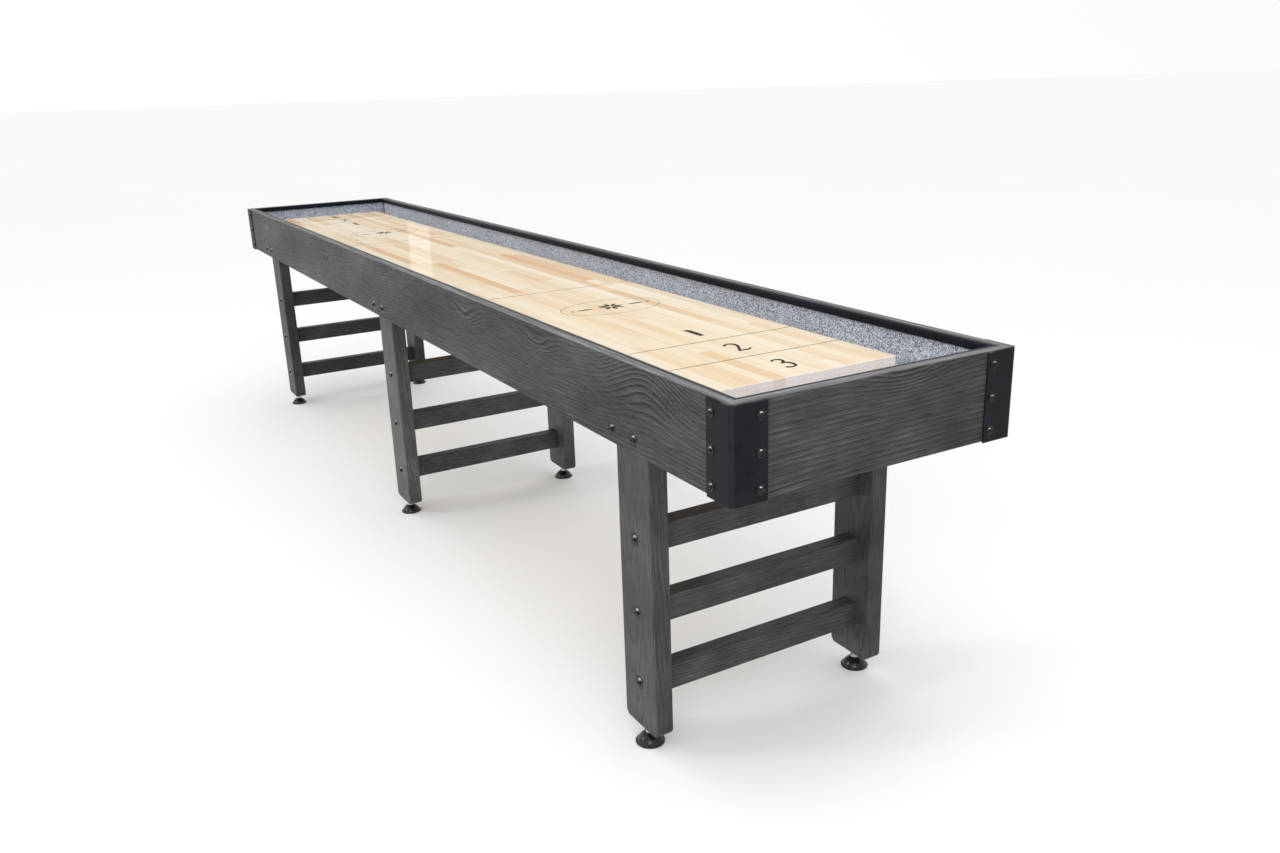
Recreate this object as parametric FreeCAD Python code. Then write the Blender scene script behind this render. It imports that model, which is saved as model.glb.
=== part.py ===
import FreeCAD, Part
import math
import os

# Twelve-foot table shuffleboard. Millimetres, +Z up, origin on the floor below the table's centre.
# +X is the right end, -Y the front. The two halves of the cabinet meet at X = 0.

V = FreeCAD.Vector
UP = V(0, 0, 1)

# Cabinet boards
BOX_HALF_LENGTH = 1826.0
BOX_HALF_WIDTH = 308.0
RAIL_TOP = 804.0
APRON_HEIGHT = 168.0
BOARD = 18.0
BOX_CORNER_R = 6.0
BOX_EDGE_R = 2.0
SEAM_GAP = 0.3
RAIL_BOTTOM = RAIL_TOP - APRON_HEIGHT
INNER_HALF_LENGTH = BOX_HALF_LENGTH - BOARD
INNER_HALF_WIDTH = BOX_HALF_WIDTH - BOARD

# Bumper strips along the inside of the rail top
BUMPER_THICK = 12.0
BUMPER_HEIGHT = 17.0
BUMPER_TOP_R = 5.0
BUMPER_BOTTOM_R = 1.5

# Playfield slab
SLAB_LENGTH = 3277.0
SLAB_WIDTH = 406.0
SLAB_THICK = 32.0
SLAB_TOP = 765.0
SLAB_EDGE_R = 1.5
SLAB_BOTTOM = SLAB_TOP - SLAB_THICK

# Cabinet bottom: cross bearers housed in the side boards, slab runners and gutter floors on them
BEARER_TOP = 688.0
BEARER_HEIGHT = 45.0
BEARER_WIDTH = 32.0
HOUSING_DEPTH = 5.0
END_BEARER_X = INNER_HALF_LENGTH - BEARER_WIDTH / 2
FLOOR_JOINT_X = 1600.0
BEARER_XS = (300.0, 700.0, 1100.0, FLOOR_JOINT_X, END_BEARER_X)
RUNNER_Y = 150.0
RUNNER_WIDTH = 38.0
FLOOR_THICK = 12.0
CARPET = 3.0
FLOOR_TOP = BEARER_TOP + FLOOR_THICK
CARPET_TOP = FLOOR_TOP + CARPET
RUNNER_OUTER_Y = RUNNER_Y + RUNNER_WIDTH / 2

# Leg frames
FRAME_XS = {"left": -1480.0, "middle": 0.0, "right": 1480.0}
POST_WIDTH = 120.0
POST_THICK = 40.0
POST_BOTTOM = 41.0
POST_EDGE_R = 4.0
POST_TOE_R = 15.0
POST_INNER_Y = INNER_HALF_WIDTH - POST_THICK
RUNG_THICK = 38.0
RUNG_HEIGHT = 56.0
RUNG_EDGE_R = 3.0
RUNG_ZS = (142.5, 296.5, 450.5)
TOP_RAIL_Z = BEARER_TOP - BEARER_HEIGHT / 2

# Through bolts, their counterbores, washers and nuts
BOLT_R = 4.0
BOLT_HOLE_R = 4.2
COUNTERBORE_R = 15.0
COUNTERBORE_DEPTH = 2.5
COVERED_BORE_DEPTH = 8.0
WASHER_R = 14.0
WASHER_THICK = 2.0
HEAD_R = 8.0
HEAD_HEIGHT = 5.0
HEX_SOCKET = 5.0
APRON_BOLT_DX = 40.0
APRON_BOLT_Z = RAIL_BOTTOM + 28.0
NUT_ACROSS = 13.0
NUT_HEIGHT = 6.5
BARREL_NUT_R = 6.0
BARREL_NUT_LENGTH = 16.0
BARREL_NUT_INSET = 32.0
BARREL_NUT_GAP = 0.05
LEG_BOLT_GRIP = 40.0
# Depth of a hexagonal socket, as a share of its screw head's height
SOCKET_SHARE = 0.6

# Corner brackets and their screws
PLATE = 3.0
BRACKET_LEG = 70.0
BRACKET_BOTTOM = RAIL_BOTTOM - 2.0
BRACKET_TOP = RAIL_TOP - 0.5
BRACKET_SCREW_OFFSET = 56.0
BRACKET_SCREW_DROPS = (24.0, 86.0, 148.0)
SCREW_R = 3.0
SCREW_LENGTH = 16.0
SCREW_HOLE_GAP = 0.05
SCREW_HEAD_R = 5.5
SCREW_HEAD_HEIGHT = 3.6
SCREW_SOCKET = 3.5
SCREW_WASHER_R = 8.5
SCREW_WASHER_THICK = 1.5

# Splice plates across the seam, let into the inner faces of the side boards
SPLICE_HALF_LENGTH = 60.0
SPLICE_Z = (718.0, 768.0)
SPLICE_THICK = 2.5
SPLICE_RECESS = 4.0
SPLICE_SCREW_XS = (-48.0, -18.0, 18.0, 48.0)
SPLICE_SCREW_ZS = (730.0, 756.0)
SMALL_SCREW_R = 2.0
SMALL_SCREW_HEAD_R = 4.0
SMALL_SCREW_HEAD = 1.2
SPLICE_SCREW_DEPTH = 12.0

# Screws that hold the slab down on its runners
SLAB_SCREW_XS = (200.0, 850.0, 1350.0)
SLAB_SCREW_R = 2.5
SLAB_SCREW_HEAD_R = 5.0
SLAB_SCREW_HEAD = 3.0
SLAB_SCREW_POCKET_R = 8.0
SLAB_SCREW_POCKET = 15.0
SLAB_SCREW_BITE = 18.0

# Climate adjusters under the slab: two angles drawn together by a double-threaded rod
ADJUSTER_XS = (-1250.0, -450.0, 450.0, 1250.0)
ADJUSTER_ROD_Z = 708.0
ANGLE_Y = 85.0
ANGLE_LENGTH = 50.0
ANGLE_FLANGE = 30.0
ANGLE_DROP = 40.0
ANGLE_THICK = 4.0
WELD_NUT_HEIGHT = 8.0
ROD_R = 5.0
ROD_HALF_LENGTH = 104.0
ROD_HEX_LENGTH = 30.0
ANGLE_SCREW_DX = 16.0
ANGLE_SCREW_Y = ANGLE_Y + 18.0
ANGLE_SCREW_DEPTH = 16.0
ANGLE_SCREW_HEAD = 2.4

# Levelling feet
HEX_ACROSS = 17.0
THREAD_GAP = 0.05
PAD_R = 30.0
PAD_RIM = 4.0
PAD_EDGE = 1.0
PAD_HEIGHT = 22.0
PAD_NECK_R = 11.0
BELL_R = 27.0
# The bell's widest bulge, as a share of its radius and of the pad's height
BELL_SHOULDER = 0.72
PAD_SOCKET_FLOOR = 8.0
STUD_R = 5.0
STUD_TOP = 98.0
STUD_HEX_BOTTOM = 22.5
STUD_HEX_HEIGHT = 6.0
TEE_FLANGE_R = 11.0
TEE_FLANGE = 1.5
TEE_BARREL_R = 7.0
TEE_BARREL = 16.0
STUD_BORE_R = 5.6
STUD_BORE_TOP = 125.0

# How far a cutting solid runs past the face that it cuts
CLEAR = 1.0
# How close an edge lies to a plane to count as in it
TOUCH = 0.1
# Reach of the 45-degree cutting wedge past the outside and the inside of a frame's corner
MITRE_OUT = 20.0
MITRE_IN = 60.0

SIDES = {"front": -1.0, "back": 1.0}
ENDS = {"left": -1.0, "right": 1.0}


def block(x, y, z):
    """A block between two corners, each axis given as a (low, high) pair."""
    return Part.makeBox(x[1] - x[0], y[1] - y[0], z[1] - z[0], V(x[0], y[0], z[0]))


def rod(radius, start, direction, length):
    """A cylinder from a start point along a unit direction."""
    return Part.makeCylinder(radius, length, start, direction)


def hexagon(across, start, direction, length):
    """A hexagonal bar, given by its distance across flats."""
    corner_r = across / math.sqrt(3)
    side = V(1, 0, 0) if abs(direction.x) < 0.5 else V(0, 1, 0)
    other = direction.cross(side)
    corners = [
        start + side * (corner_r * math.cos(a)) + other * (corner_r * math.sin(a))
        for a in [math.radians(60 * i) for i in range(7)]
    ]
    return Part.Face(Part.makePolygon(corners)).extrude(direction * length)


def mirrored(shape, side):
    """A shape made for the front, or its mirror image if the side is the back."""
    return shape.mirror(V(0, 0, 0), V(0, 1, 0)) if side > 0 else shape


def rounded(shape, radius, wanted):
    """Fillets the edges for which wanted(edge bounding box) is true."""
    edges = [e for e in shape.Edges if wanted(e.BoundBox)]
    return shape.makeFillet(radius, edges)


def flat_at(box, axis, value):
    """Whether an edge lies in the plane where the axis has that value."""
    low = getattr(box, axis + "Min")
    high = getattr(box, axis + "Max")
    return abs(low - value) < TOUCH and abs(high - value) < TOUCH


def within(box, half_x, half_y):
    """Whether an edge lies wholly inside a rectangle about the table's centre."""
    return max(box.XMax, -box.XMin) < half_x and max(box.YMax, -box.YMin) < half_y


def tube_ring(half_x, half_y, thick, z, corner_r=0.0):
    """A rectangular ring, with its wall inside the outline that is given."""
    outer = block((-half_x, half_x), (-half_y, half_y), z)
    if corner_r:
        outer = rounded(outer, corner_r, lambda b: b.ZMax - b.ZMin > z[1] - z[0] - TOUCH)
    inner_z = (z[0] - CLEAR, z[1] + CLEAR)
    inner_x = half_x - thick
    inner_y = half_y - thick
    return outer.cut(block((-inner_x, inner_x), (-inner_y, inner_y), inner_z))


def end_wedge(half_x, half_y, end, z):
    """The trapezoid that takes one mitred end piece out of a rectangular ring."""
    outline = [
        (half_x + MITRE_OUT, half_y + MITRE_OUT),
        (half_x - MITRE_IN, half_y - MITRE_IN),
        (half_x - MITRE_IN, MITRE_IN - half_y),
        (half_x + MITRE_OUT, -half_y - MITRE_OUT),
    ]
    corners = [V(end * x, y, z[0] - CLEAR) for x, y in outline + outline[:1]]
    return Part.Face(Part.makePolygon(corners)).extrude(UP * (z[1] - z[0] + 2 * CLEAR))


def mitred(ring, half_x, half_y, z):
    """A ring split at its corners into front, back, left and right pieces."""
    pieces = {name: ring.common(end_wedge(half_x, half_y, end, z)) for name, end in ENDS.items()}
    sides = ring
    for end in ENDS.values():
        sides = sides.cut(end_wedge(half_x, half_y, end, z))
    for name, side in SIDES.items():
        near = block(
            (-half_x - CLEAR, half_x + CLEAR),
            sorted((0.0, side * (half_y + CLEAR))),
            (z[0] - CLEAR, z[1] + CLEAR),
        )
        pieces[name] = sides.common(near)
    return pieces


# ---- fasteners -------------------------------------------------------------------------------


def button_head(radius, height, socket, start, direction):
    """A domed screw head with a hexagonal socket, sitting on its start point."""
    dome_r = (radius**2 + height**2) / (2 * height)
    dome = Part.makeSphere(dome_r, start + direction * (height - dome_r))
    head = rod(radius, start, direction, height).common(dome)
    socket_depth = height * SOCKET_SHARE
    bottom = start + direction * (height - socket_depth)
    return head.cut(hexagon(socket, bottom, direction, socket_depth + CLEAR))


def washer(outer_r, hole_r, thick, start, direction):
    """A flat washer."""
    hole = rod(hole_r, start - direction * CLEAR, direction, thick + 2 * CLEAR)
    return rod(outer_r, start, direction, thick).cut(hole)


def leg_bores():
    """Heights of the leg bolts and the depths of their counterbores, deeper behind the side boards."""
    return [(z, COUNTERBORE_DEPTH) for z in RUNG_ZS] + [(TOP_RAIL_Z, COVERED_BORE_DEPTH)]


def button_bolt(seat, outward, length):
    """A button-head bolt under a washer: the seat is where the washer lies."""
    under_head = seat + outward * WASHER_THICK
    head = button_head(HEAD_R, HEAD_HEIGHT, HEX_SOCKET, under_head, outward)
    shank = rod(BOLT_R, under_head, outward * -1, length + WASHER_THICK)
    return [head.fuse(shank), washer(WASHER_R, BOLT_HOLE_R, WASHER_THICK, seat, outward)]


def bracket_screw(seat, outward):
    """A button-head screw and washer on a corner bracket."""
    under_head = seat + outward * SCREW_WASHER_THICK
    head = button_head(SCREW_HEAD_R, SCREW_HEAD_HEIGHT, SCREW_SOCKET, under_head, outward)
    shank = rod(SCREW_R, under_head, outward * -1, SCREW_LENGTH + SCREW_WASHER_THICK)
    hole_r = SCREW_R + SCREW_HOLE_GAP
    ring = washer(SCREW_WASHER_R, hole_r, SCREW_WASHER_THICK, seat, outward)
    return [head.fuse(shank), ring]


def flat_screw(seat, outward, radius, head_r, head_height, depth):
    """A small low-headed wood screw whose head lies on the seat."""
    head = rod(head_r, seat, outward, head_height)
    return head.fuse(rod(radius, seat, outward * -1, depth))


def bracket_screw_places():
    """Seat point and outward direction of each bracket screw, bracket by bracket."""
    face_x = BOX_HALF_LENGTH + PLATE
    face_y = BOX_HALF_WIDTH + PLATE
    in_x = face_x - BRACKET_SCREW_OFFSET
    in_y = face_y - BRACKET_SCREW_OFFSET
    for end in ENDS.values():
        for side in SIDES.values():
            for drop in BRACKET_SCREW_DROPS:
                z = RAIL_TOP - drop
                yield V(end * in_x, side * face_y, z), V(0, side, 0)
                yield V(end * face_x, side * in_y, z), V(end, 0, 0)


def splice_screw_places(side):
    """Seat point and outward direction of each screw in one splice plate."""
    plate_face = INNER_HALF_WIDTH + SPLICE_RECESS - SPLICE_THICK
    for x in SPLICE_SCREW_XS:
        for z in SPLICE_SCREW_ZS:
            yield V(x, side * plate_face, z), V(0, -side, 0)


def slab_screw_places():
    """Where each slab screw's head seats, inside its pocket in a runner."""
    for end in ENDS.values():
        for side in SIDES.values():
            for x in SLAB_SCREW_XS:
                yield V(end * x, side * RUNNER_Y, BEARER_TOP + SLAB_SCREW_POCKET)


def angle_screw_places():
    """Where each screw of the climate adjusters' angles seats."""
    for x in ADJUSTER_XS:
        for side in SIDES.values():
            for dx in (-ANGLE_SCREW_DX, ANGLE_SCREW_DX):
                yield V(x + dx, side * ANGLE_SCREW_Y, SLAB_BOTTOM - ANGLE_THICK)


# ---- cabinet ---------------------------------------------------------------------------------


def apron_ring():
    """All six apron boards as one ring, with the outer edges eased."""
    z = (RAIL_BOTTOM, RAIL_TOP)
    ring = tube_ring(BOX_HALF_LENGTH, BOX_HALF_WIDTH, BOARD, z, BOX_CORNER_R)

    def outer_edge(box):
        level = any(flat_at(box, "Z", height) for height in z)
        return level and not within(box, INNER_HALF_LENGTH + CLEAR, INNER_HALF_WIDTH + CLEAR)

    return rounded(ring, BOX_EDGE_R, outer_edge)


def apron_cutters():
    """Everything that is drilled or cut out of the apron boards."""
    cutters = []
    for side in SIDES.values():
        outward = V(0, side, 0)
        for frame_x in FRAME_XS.values():
            for dx in (-APRON_BOLT_DX, APRON_BOLT_DX):
                face = V(frame_x + dx, side * BOX_HALF_WIDTH, APRON_BOLT_Z)
                start = face + outward * CLEAR
                cutters.append(rod(BOLT_HOLE_R, start, outward * -1, BOARD + 2 * CLEAR))
                cutters.append(rod(COUNTERBORE_R, start, outward * -1, COUNTERBORE_DEPTH + CLEAR))
        for seat, inward in splice_screw_places(side):
            depth = SPLICE_SCREW_DEPTH + CLEAR
            cutters.append(rod(SMALL_SCREW_R + SCREW_HOLE_GAP, seat, inward * -1, depth))
        y = sorted(side * (INNER_HALF_WIDTH + d) for d in (-CLEAR, SPLICE_RECESS))
        cutters.append(block((-SPLICE_HALF_LENGTH, SPLICE_HALF_LENGTH), y, SPLICE_Z))
    cutters += [bearer(end * x) for end in ENDS.values() for x in BEARER_XS]
    for seat, outward in bracket_screw_places():
        hole_r = SCREW_R + SCREW_HOLE_GAP
        cutters.append(rod(hole_r, seat, outward * -1, SCREW_LENGTH + CLEAR))
    return cutters


def apron_boards():
    """The two end boards and the four half-length side boards, mitred at the corners."""
    z = (RAIL_BOTTOM, RAIL_TOP)
    ring = apron_ring().cut(apron_cutters())
    pieces = mitred(ring, BOX_HALF_LENGTH, BOX_HALF_WIDTH, z)
    boards = {f"{end}_end_board": pieces[end] for end in ENDS}
    for side in SIDES:
        for end, sign in ENDS.items():
            half = block(
                sorted((sign * SEAM_GAP / 2, sign * (BOX_HALF_LENGTH + CLEAR))),
                (-BOX_HALF_WIDTH - CLEAR, BOX_HALF_WIDTH + CLEAR),
                (z[0] - CLEAR, z[1] + CLEAR),
            )
            boards[f"{side}_{end}_board"] = pieces[side].common(half)
    return boards


def bumpers():
    """The four mitred strips along the inside of the rail, rounded towards the playfield."""
    z = (RAIL_TOP - BUMPER_HEIGHT, RAIL_TOP)
    ring = tube_ring(INNER_HALF_LENGTH, INNER_HALF_WIDTH, BUMPER_THICK, z)
    limits = (INNER_HALF_LENGTH - CLEAR, INNER_HALF_WIDTH - CLEAR)
    for level, radius in ((z[1], BUMPER_TOP_R), (z[0], BUMPER_BOTTOM_R)):
        ring = rounded(ring, radius, lambda b: flat_at(b, "Z", level) and within(b, *limits))
    pieces = mitred(ring, INNER_HALF_LENGTH, INNER_HALF_WIDTH, z)
    return {f"{name}_bumper": piece for name, piece in pieces.items()}


def bearer(x):
    """One cross bearer, its ends housed in the side boards."""
    half_y = INNER_HALF_WIDTH + HOUSING_DEPTH
    half_x = BEARER_WIDTH / 2
    z = (BEARER_TOP - BEARER_HEIGHT, BEARER_TOP)
    return block((x - half_x, x + half_x), (-half_y, half_y), z)


def cross_bearers():
    """The ten bearers under the gutter floors and the slab runners."""
    return [bearer(end * x) for end in ENDS.values() for x in BEARER_XS]


def gutter_floors():
    """Plywood floors of the two long gutters, in halves, and of the two end gutters."""
    z = (BEARER_TOP, FLOOR_TOP)
    floors = {}
    for name, side in SIDES.items():
        y = sorted((side * RUNNER_OUTER_Y, side * INNER_HALF_WIDTH))
        halves = [sorted((0.0, end * FLOOR_JOINT_X)) for end in ENDS.values()]
        floors[f"{name}_gutter_floor"] = [block(x, y, z) for x in halves]
    floors["end_gutter_floors"] = [
        block(
            sorted((end * FLOOR_JOINT_X, end * INNER_HALF_LENGTH)),
            (-INNER_HALF_WIDTH, INNER_HALF_WIDTH),
            z,
        )
        for end in ENDS.values()
    ]
    return floors


def floor_carpets():
    """Carpet on the gutter floors: two long strips and two end pieces."""
    z = (FLOOR_TOP, CARPET_TOP)
    wall_x = INNER_HALF_LENGTH - CARPET
    wall_y = INNER_HALF_WIDTH - CARPET
    long_strips = [
        block((-FLOOR_JOINT_X, FLOOR_JOINT_X), sorted((side * RUNNER_OUTER_Y, side * wall_y)), z)
        for side in SIDES.values()
    ]
    end_pieces = [
        block(sorted((end * FLOOR_JOINT_X, end * wall_x)), (-wall_y, wall_y), z)
        for end in ENDS.values()
    ]
    return long_strips + end_pieces


def wall_carpets():
    """Carpet up the inside of the boards, from the gutter floor to the bumper strips."""
    z = (FLOOR_TOP, RAIL_TOP - BUMPER_HEIGHT)
    ring = tube_ring(INNER_HALF_LENGTH, INNER_HALF_WIDTH, CARPET, z)
    return list(mitred(ring, INNER_HALF_LENGTH, INNER_HALF_WIDTH, z).values())


def corner_brackets():
    """Four steel angles bent round the corners of the cabinet."""
    z = (BRACKET_BOTTOM, BRACKET_TOP)
    half_x = BOX_HALF_LENGTH + PLATE
    half_y = BOX_HALF_WIDTH + PLATE

    def upright(box):
        return box.ZMax - box.ZMin > APRON_HEIGHT - CLEAR

    outer = block((-half_x, half_x), (-half_y, half_y), z)
    outer = rounded(outer, BOX_CORNER_R + PLATE, upright)
    inner_z = (z[0] - CLEAR, z[1] + CLEAR)
    inner_x = (-BOX_HALF_LENGTH, BOX_HALF_LENGTH)
    inner_y = (-BOX_HALF_WIDTH, BOX_HALF_WIDTH)
    inner = rounded(block(inner_x, inner_y, inner_z), BOX_CORNER_R, upright)
    sleeve = outer.cut(inner)
    hole_r = SCREW_R + SCREW_HOLE_GAP
    holes = [
        rod(hole_r, seat + outward * CLEAR, outward * -1, 2 * PLATE)
        for seat, outward in bracket_screw_places()
    ]
    sleeve = sleeve.cut(holes)
    brackets = {}
    for side_name, side in SIDES.items():
        for end_name, end in ENDS.items():
            corner = block(
                sorted((end * (half_x - BRACKET_LEG), end * (half_x + CLEAR))),
                sorted((side * (half_y - BRACKET_LEG), side * (half_y + CLEAR))),
                inner_z,
            )
            brackets[f"{side_name}_{end_name}_bracket"] = sleeve.common(corner)
    return brackets


def splice_plates():
    """Steel plates across the middle seam, behind the wall carpet."""
    plates = []
    for side in SIDES.values():
        y = sorted(side * (INNER_HALF_WIDTH + SPLICE_RECESS - d) for d in (0.0, SPLICE_THICK))
        plate = block((-SPLICE_HALF_LENGTH, SPLICE_HALF_LENGTH), y, SPLICE_Z)
        hole_r = SMALL_SCREW_R + SCREW_HOLE_GAP
        depth = SPLICE_THICK + 2 * CLEAR
        holes = [
            rod(hole_r, seat + inward * CLEAR, inward * -1, depth)
            for seat, inward in splice_screw_places(side)
        ]
        plates.append(plate.cut(holes))
    return plates


def splice_screws():
    """Eight low-headed screws in each splice plate."""
    sizes = (SMALL_SCREW_R, SMALL_SCREW_HEAD_R, SMALL_SCREW_HEAD, SPLICE_SCREW_DEPTH)
    return [
        flat_screw(seat, inward, *sizes)
        for side in SIDES.values()
        for seat, inward in splice_screw_places(side)
    ]


# ---- playfield -------------------------------------------------------------------------------


def playfield():
    """The butcher-block slab, with its upper edges eased and its screw holes from below."""
    half_x = SLAB_LENGTH / 2
    half_y = SLAB_WIDTH / 2
    slab = block((-half_x, half_x), (-half_y, half_y), (SLAB_BOTTOM, SLAB_TOP))
    slab = rounded(slab, SLAB_EDGE_R, lambda b: b.ZMax > SLAB_TOP - TOUCH)
    below = SLAB_BOTTOM - CLEAR
    holes = []
    for place in slab_screw_places():
        hole_r = SLAB_SCREW_R + SCREW_HOLE_GAP
        holes.append(rod(hole_r, V(place.x, place.y, below), UP, SLAB_SCREW_BITE + 2 * CLEAR))
    for place in angle_screw_places():
        hole_r = SMALL_SCREW_R + SCREW_HOLE_GAP
        holes.append(rod(hole_r, V(place.x, place.y, below), UP, ANGLE_SCREW_DEPTH))
    return slab.cut(holes)


def playfield_runners():
    """Two lengthwise battens, each in halves, that carry the slab on the bearers."""
    z = (BEARER_TOP, SLAB_BOTTOM)
    cutters = []
    for place in slab_screw_places():
        bottom = V(place.x, place.y, BEARER_TOP - CLEAR)
        height = SLAB_BOTTOM - BEARER_TOP + 2 * CLEAR
        cutters.append(rod(SLAB_SCREW_POCKET_R, bottom, UP, SLAB_SCREW_POCKET + CLEAR))
        cutters.append(rod(SLAB_SCREW_R + SCREW_HOLE_GAP, bottom, UP, height))
    runners = []
    for side in SIDES.values():
        y = sorted(side * (RUNNER_Y + d) for d in (-RUNNER_WIDTH / 2, RUNNER_WIDTH / 2))
        for end in ENDS.values():
            batten = block(sorted((0.0, end * FLOOR_JOINT_X)), y, z)
            runners.append(batten.cut(cutters))
    return runners


def playfield_screws():
    """Screws up through the runners into the slab."""
    depth = SLAB_BOTTOM + SLAB_SCREW_BITE - BEARER_TOP - SLAB_SCREW_POCKET
    sizes = (SLAB_SCREW_R, SLAB_SCREW_HEAD_R, SLAB_SCREW_HEAD, depth)
    return [flat_screw(place, UP * -1, *sizes) for place in slab_screw_places()]


def adjuster_angle(x, side):
    """A steel angle under the slab, with the nut welded on that the rod draws on."""
    ys = [side * (ANGLE_Y + d) for d in (0.0, ANGLE_THICK, ANGLE_FLANGE)]
    span = (x - ANGLE_LENGTH / 2, x + ANGLE_LENGTH / 2)
    top_flange = block(span, sorted((ys[0], ys[2])), (SLAB_BOTTOM - ANGLE_THICK, SLAB_BOTTOM))
    web = block(span, sorted((ys[0], ys[1])), (SLAB_BOTTOM - ANGLE_DROP, SLAB_BOTTOM))
    out = V(0, side, 0)
    nut = hexagon(HEX_ACROSS, V(x, ys[1], ADJUSTER_ROD_Z), out, WELD_NUT_HEIGHT)
    bore_length = ANGLE_THICK + WELD_NUT_HEIGHT + 2 * CLEAR
    bore = rod(ROD_R + THREAD_GAP, V(x, ys[0], ADJUSTER_ROD_Z) - out * CLEAR, out, bore_length)
    holes = [
        rod(SMALL_SCREW_R + SCREW_HOLE_GAP, place - UP * CLEAR, UP, ANGLE_THICK + 2 * CLEAR)
        for place in angle_screw_places()
    ]
    return top_flange.fuse([web, nut]).removeSplitter().cut([bore] + holes)


def adjuster_screws():
    """Two screws through each angle into the slab."""
    depth = ANGLE_THICK + ANGLE_SCREW_DEPTH - 2 * CLEAR
    sizes = (SMALL_SCREW_R, SMALL_SCREW_HEAD_R, ANGLE_SCREW_HEAD, depth)
    return [flat_screw(place, UP * -1, *sizes) for place in angle_screw_places()]


def adjuster_rod(x):
    """A rod threaded left and right handed, with a hexagon in the middle for a spanner."""
    out = V(0, 1, 0)
    shaft = rod(ROD_R, V(x, -ROD_HALF_LENGTH, ADJUSTER_ROD_Z), out, 2 * ROD_HALF_LENGTH)
    start = V(x, -ROD_HEX_LENGTH / 2, ADJUSTER_ROD_Z)
    return shaft.fuse(hexagon(HEX_ACROSS, start, out, ROD_HEX_LENGTH)).removeSplitter()


# ---- leg frames ------------------------------------------------------------------------------


def front_post(frame_x):
    """A front leg post with its bolt holes, counterbores and the bore for its levelling foot."""
    low = frame_x - POST_WIDTH / 2
    high = frame_x + POST_WIDTH / 2
    faces = (-INNER_HALF_WIDTH, -POST_INNER_Y)
    post = block((low, high), faces, (POST_BOTTOM, BEARER_TOP))

    def toe(box):
        return flat_at(box, "Z", POST_BOTTOM) and box.YMax - box.YMin > POST_THICK - TOUCH

    def face_edge(box):
        return any(flat_at(box, "Y", face) for face in faces) and not flat_at(box, "Z", BEARER_TOP)

    post = rounded(post, POST_TOE_R, toe)
    post = rounded(post, POST_EDGE_R, face_edge)
    inward = V(0, 1, 0)
    cutters = []
    for z, depth in leg_bores():
        start = V(frame_x, faces[0] - CLEAR, z)
        cutters.append(rod(BOLT_HOLE_R, start, inward, POST_THICK + 2 * CLEAR))
        cutters.append(rod(COUNTERBORE_R, start, inward, depth + CLEAR))
    for dx in (-APRON_BOLT_DX, APRON_BOLT_DX):
        start = V(frame_x + dx, faces[0] - CLEAR, APRON_BOLT_Z)
        cutters.append(rod(BOLT_HOLE_R, start, inward, POST_THICK + 2 * CLEAR))
    foot = foot_place(frame_x, -1.0)
    cutters.append(rod(TEE_BARREL_R, foot + UP * (POST_BOTTOM - CLEAR), UP, TEE_BARREL + CLEAR))
    cutters.append(rod(STUD_BORE_R, foot + UP * POST_BOTTOM, UP, STUD_BORE_TOP - POST_BOTTOM))
    return post.cut(cutters)


def barrel_nut_ys():
    """Where the barrel nuts lie along a rail."""
    inset = POST_INNER_Y - BARREL_NUT_INSET
    return (-inset, inset)


def leg_rail(frame_x, z, height):
    """A rail between two posts, bored for the bolts at its ends and the barrel nuts below."""
    half = RUNG_THICK / 2
    rail = block(
        (frame_x - half, frame_x + half),
        (-POST_INNER_Y, POST_INNER_Y),
        (z - height / 2, z + height / 2),
    )
    rail = rounded(rail, RUNG_EDGE_R, lambda b: b.YMax - b.YMin > POST_INNER_Y)
    cutters = []
    for y in barrel_nut_ys():
        out = V(0, math.copysign(1, y), 0)
        end_face = V(frame_x, math.copysign(POST_INNER_Y + CLEAR, y), z)
        cutters.append(rod(BOLT_HOLE_R, end_face, out * -1, LEG_BOLT_GRIP + 3 * CLEAR))
        bore_bottom = V(frame_x, y, z - height / 2 - CLEAR)
        bore_height = height / 2 + BARREL_NUT_LENGTH / 2 + CLEAR
        cutters.append(rod(BARREL_NUT_R + BARREL_NUT_GAP, bore_bottom, UP, bore_height))
    return rail.cut(cutters)


def rungs(frame_x):
    """The three visible rungs of one leg frame."""
    return [leg_rail(frame_x, z, RUNG_HEIGHT) for z in RUNG_ZS]


def leg_top_rails():
    """The rail between each pair of posts that is hidden inside the cabinet."""
    return [leg_rail(x, TOP_RAIL_Z, BEARER_HEIGHT) for x in FRAME_XS.values()]


def barrel_nuts():
    """The cross dowels in the rails, each with its threaded hole."""
    nuts = []
    for frame_x in FRAME_XS.values():
        for z in RUNG_ZS + (TOP_RAIL_Z,):
            for y in barrel_nut_ys():
                bottom = V(frame_x, y, z - BARREL_NUT_LENGTH / 2)
                body = rod(BARREL_NUT_R, bottom, UP, BARREL_NUT_LENGTH)
                bore_start = V(frame_x, y - BARREL_NUT_R - CLEAR, z)
                bore_length = 2 * (BARREL_NUT_R + CLEAR)
                bore = rod(BOLT_R + THREAD_GAP, bore_start, V(0, 1, 0), bore_length)
                nuts.append(body.cut(bore))
    return nuts


def leg_bolts():
    """Bolts and washers through the posts into the rails."""
    solids = []
    for frame_x in FRAME_XS.values():
        for side in SIDES.values():
            out = V(0, side, 0)
            for z, depth in leg_bores():
                seat = V(frame_x, side * (INNER_HALF_WIDTH - depth), z)
                length = POST_THICK - depth + LEG_BOLT_GRIP
                solids += button_bolt(seat, out, length)
    return solids


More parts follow.
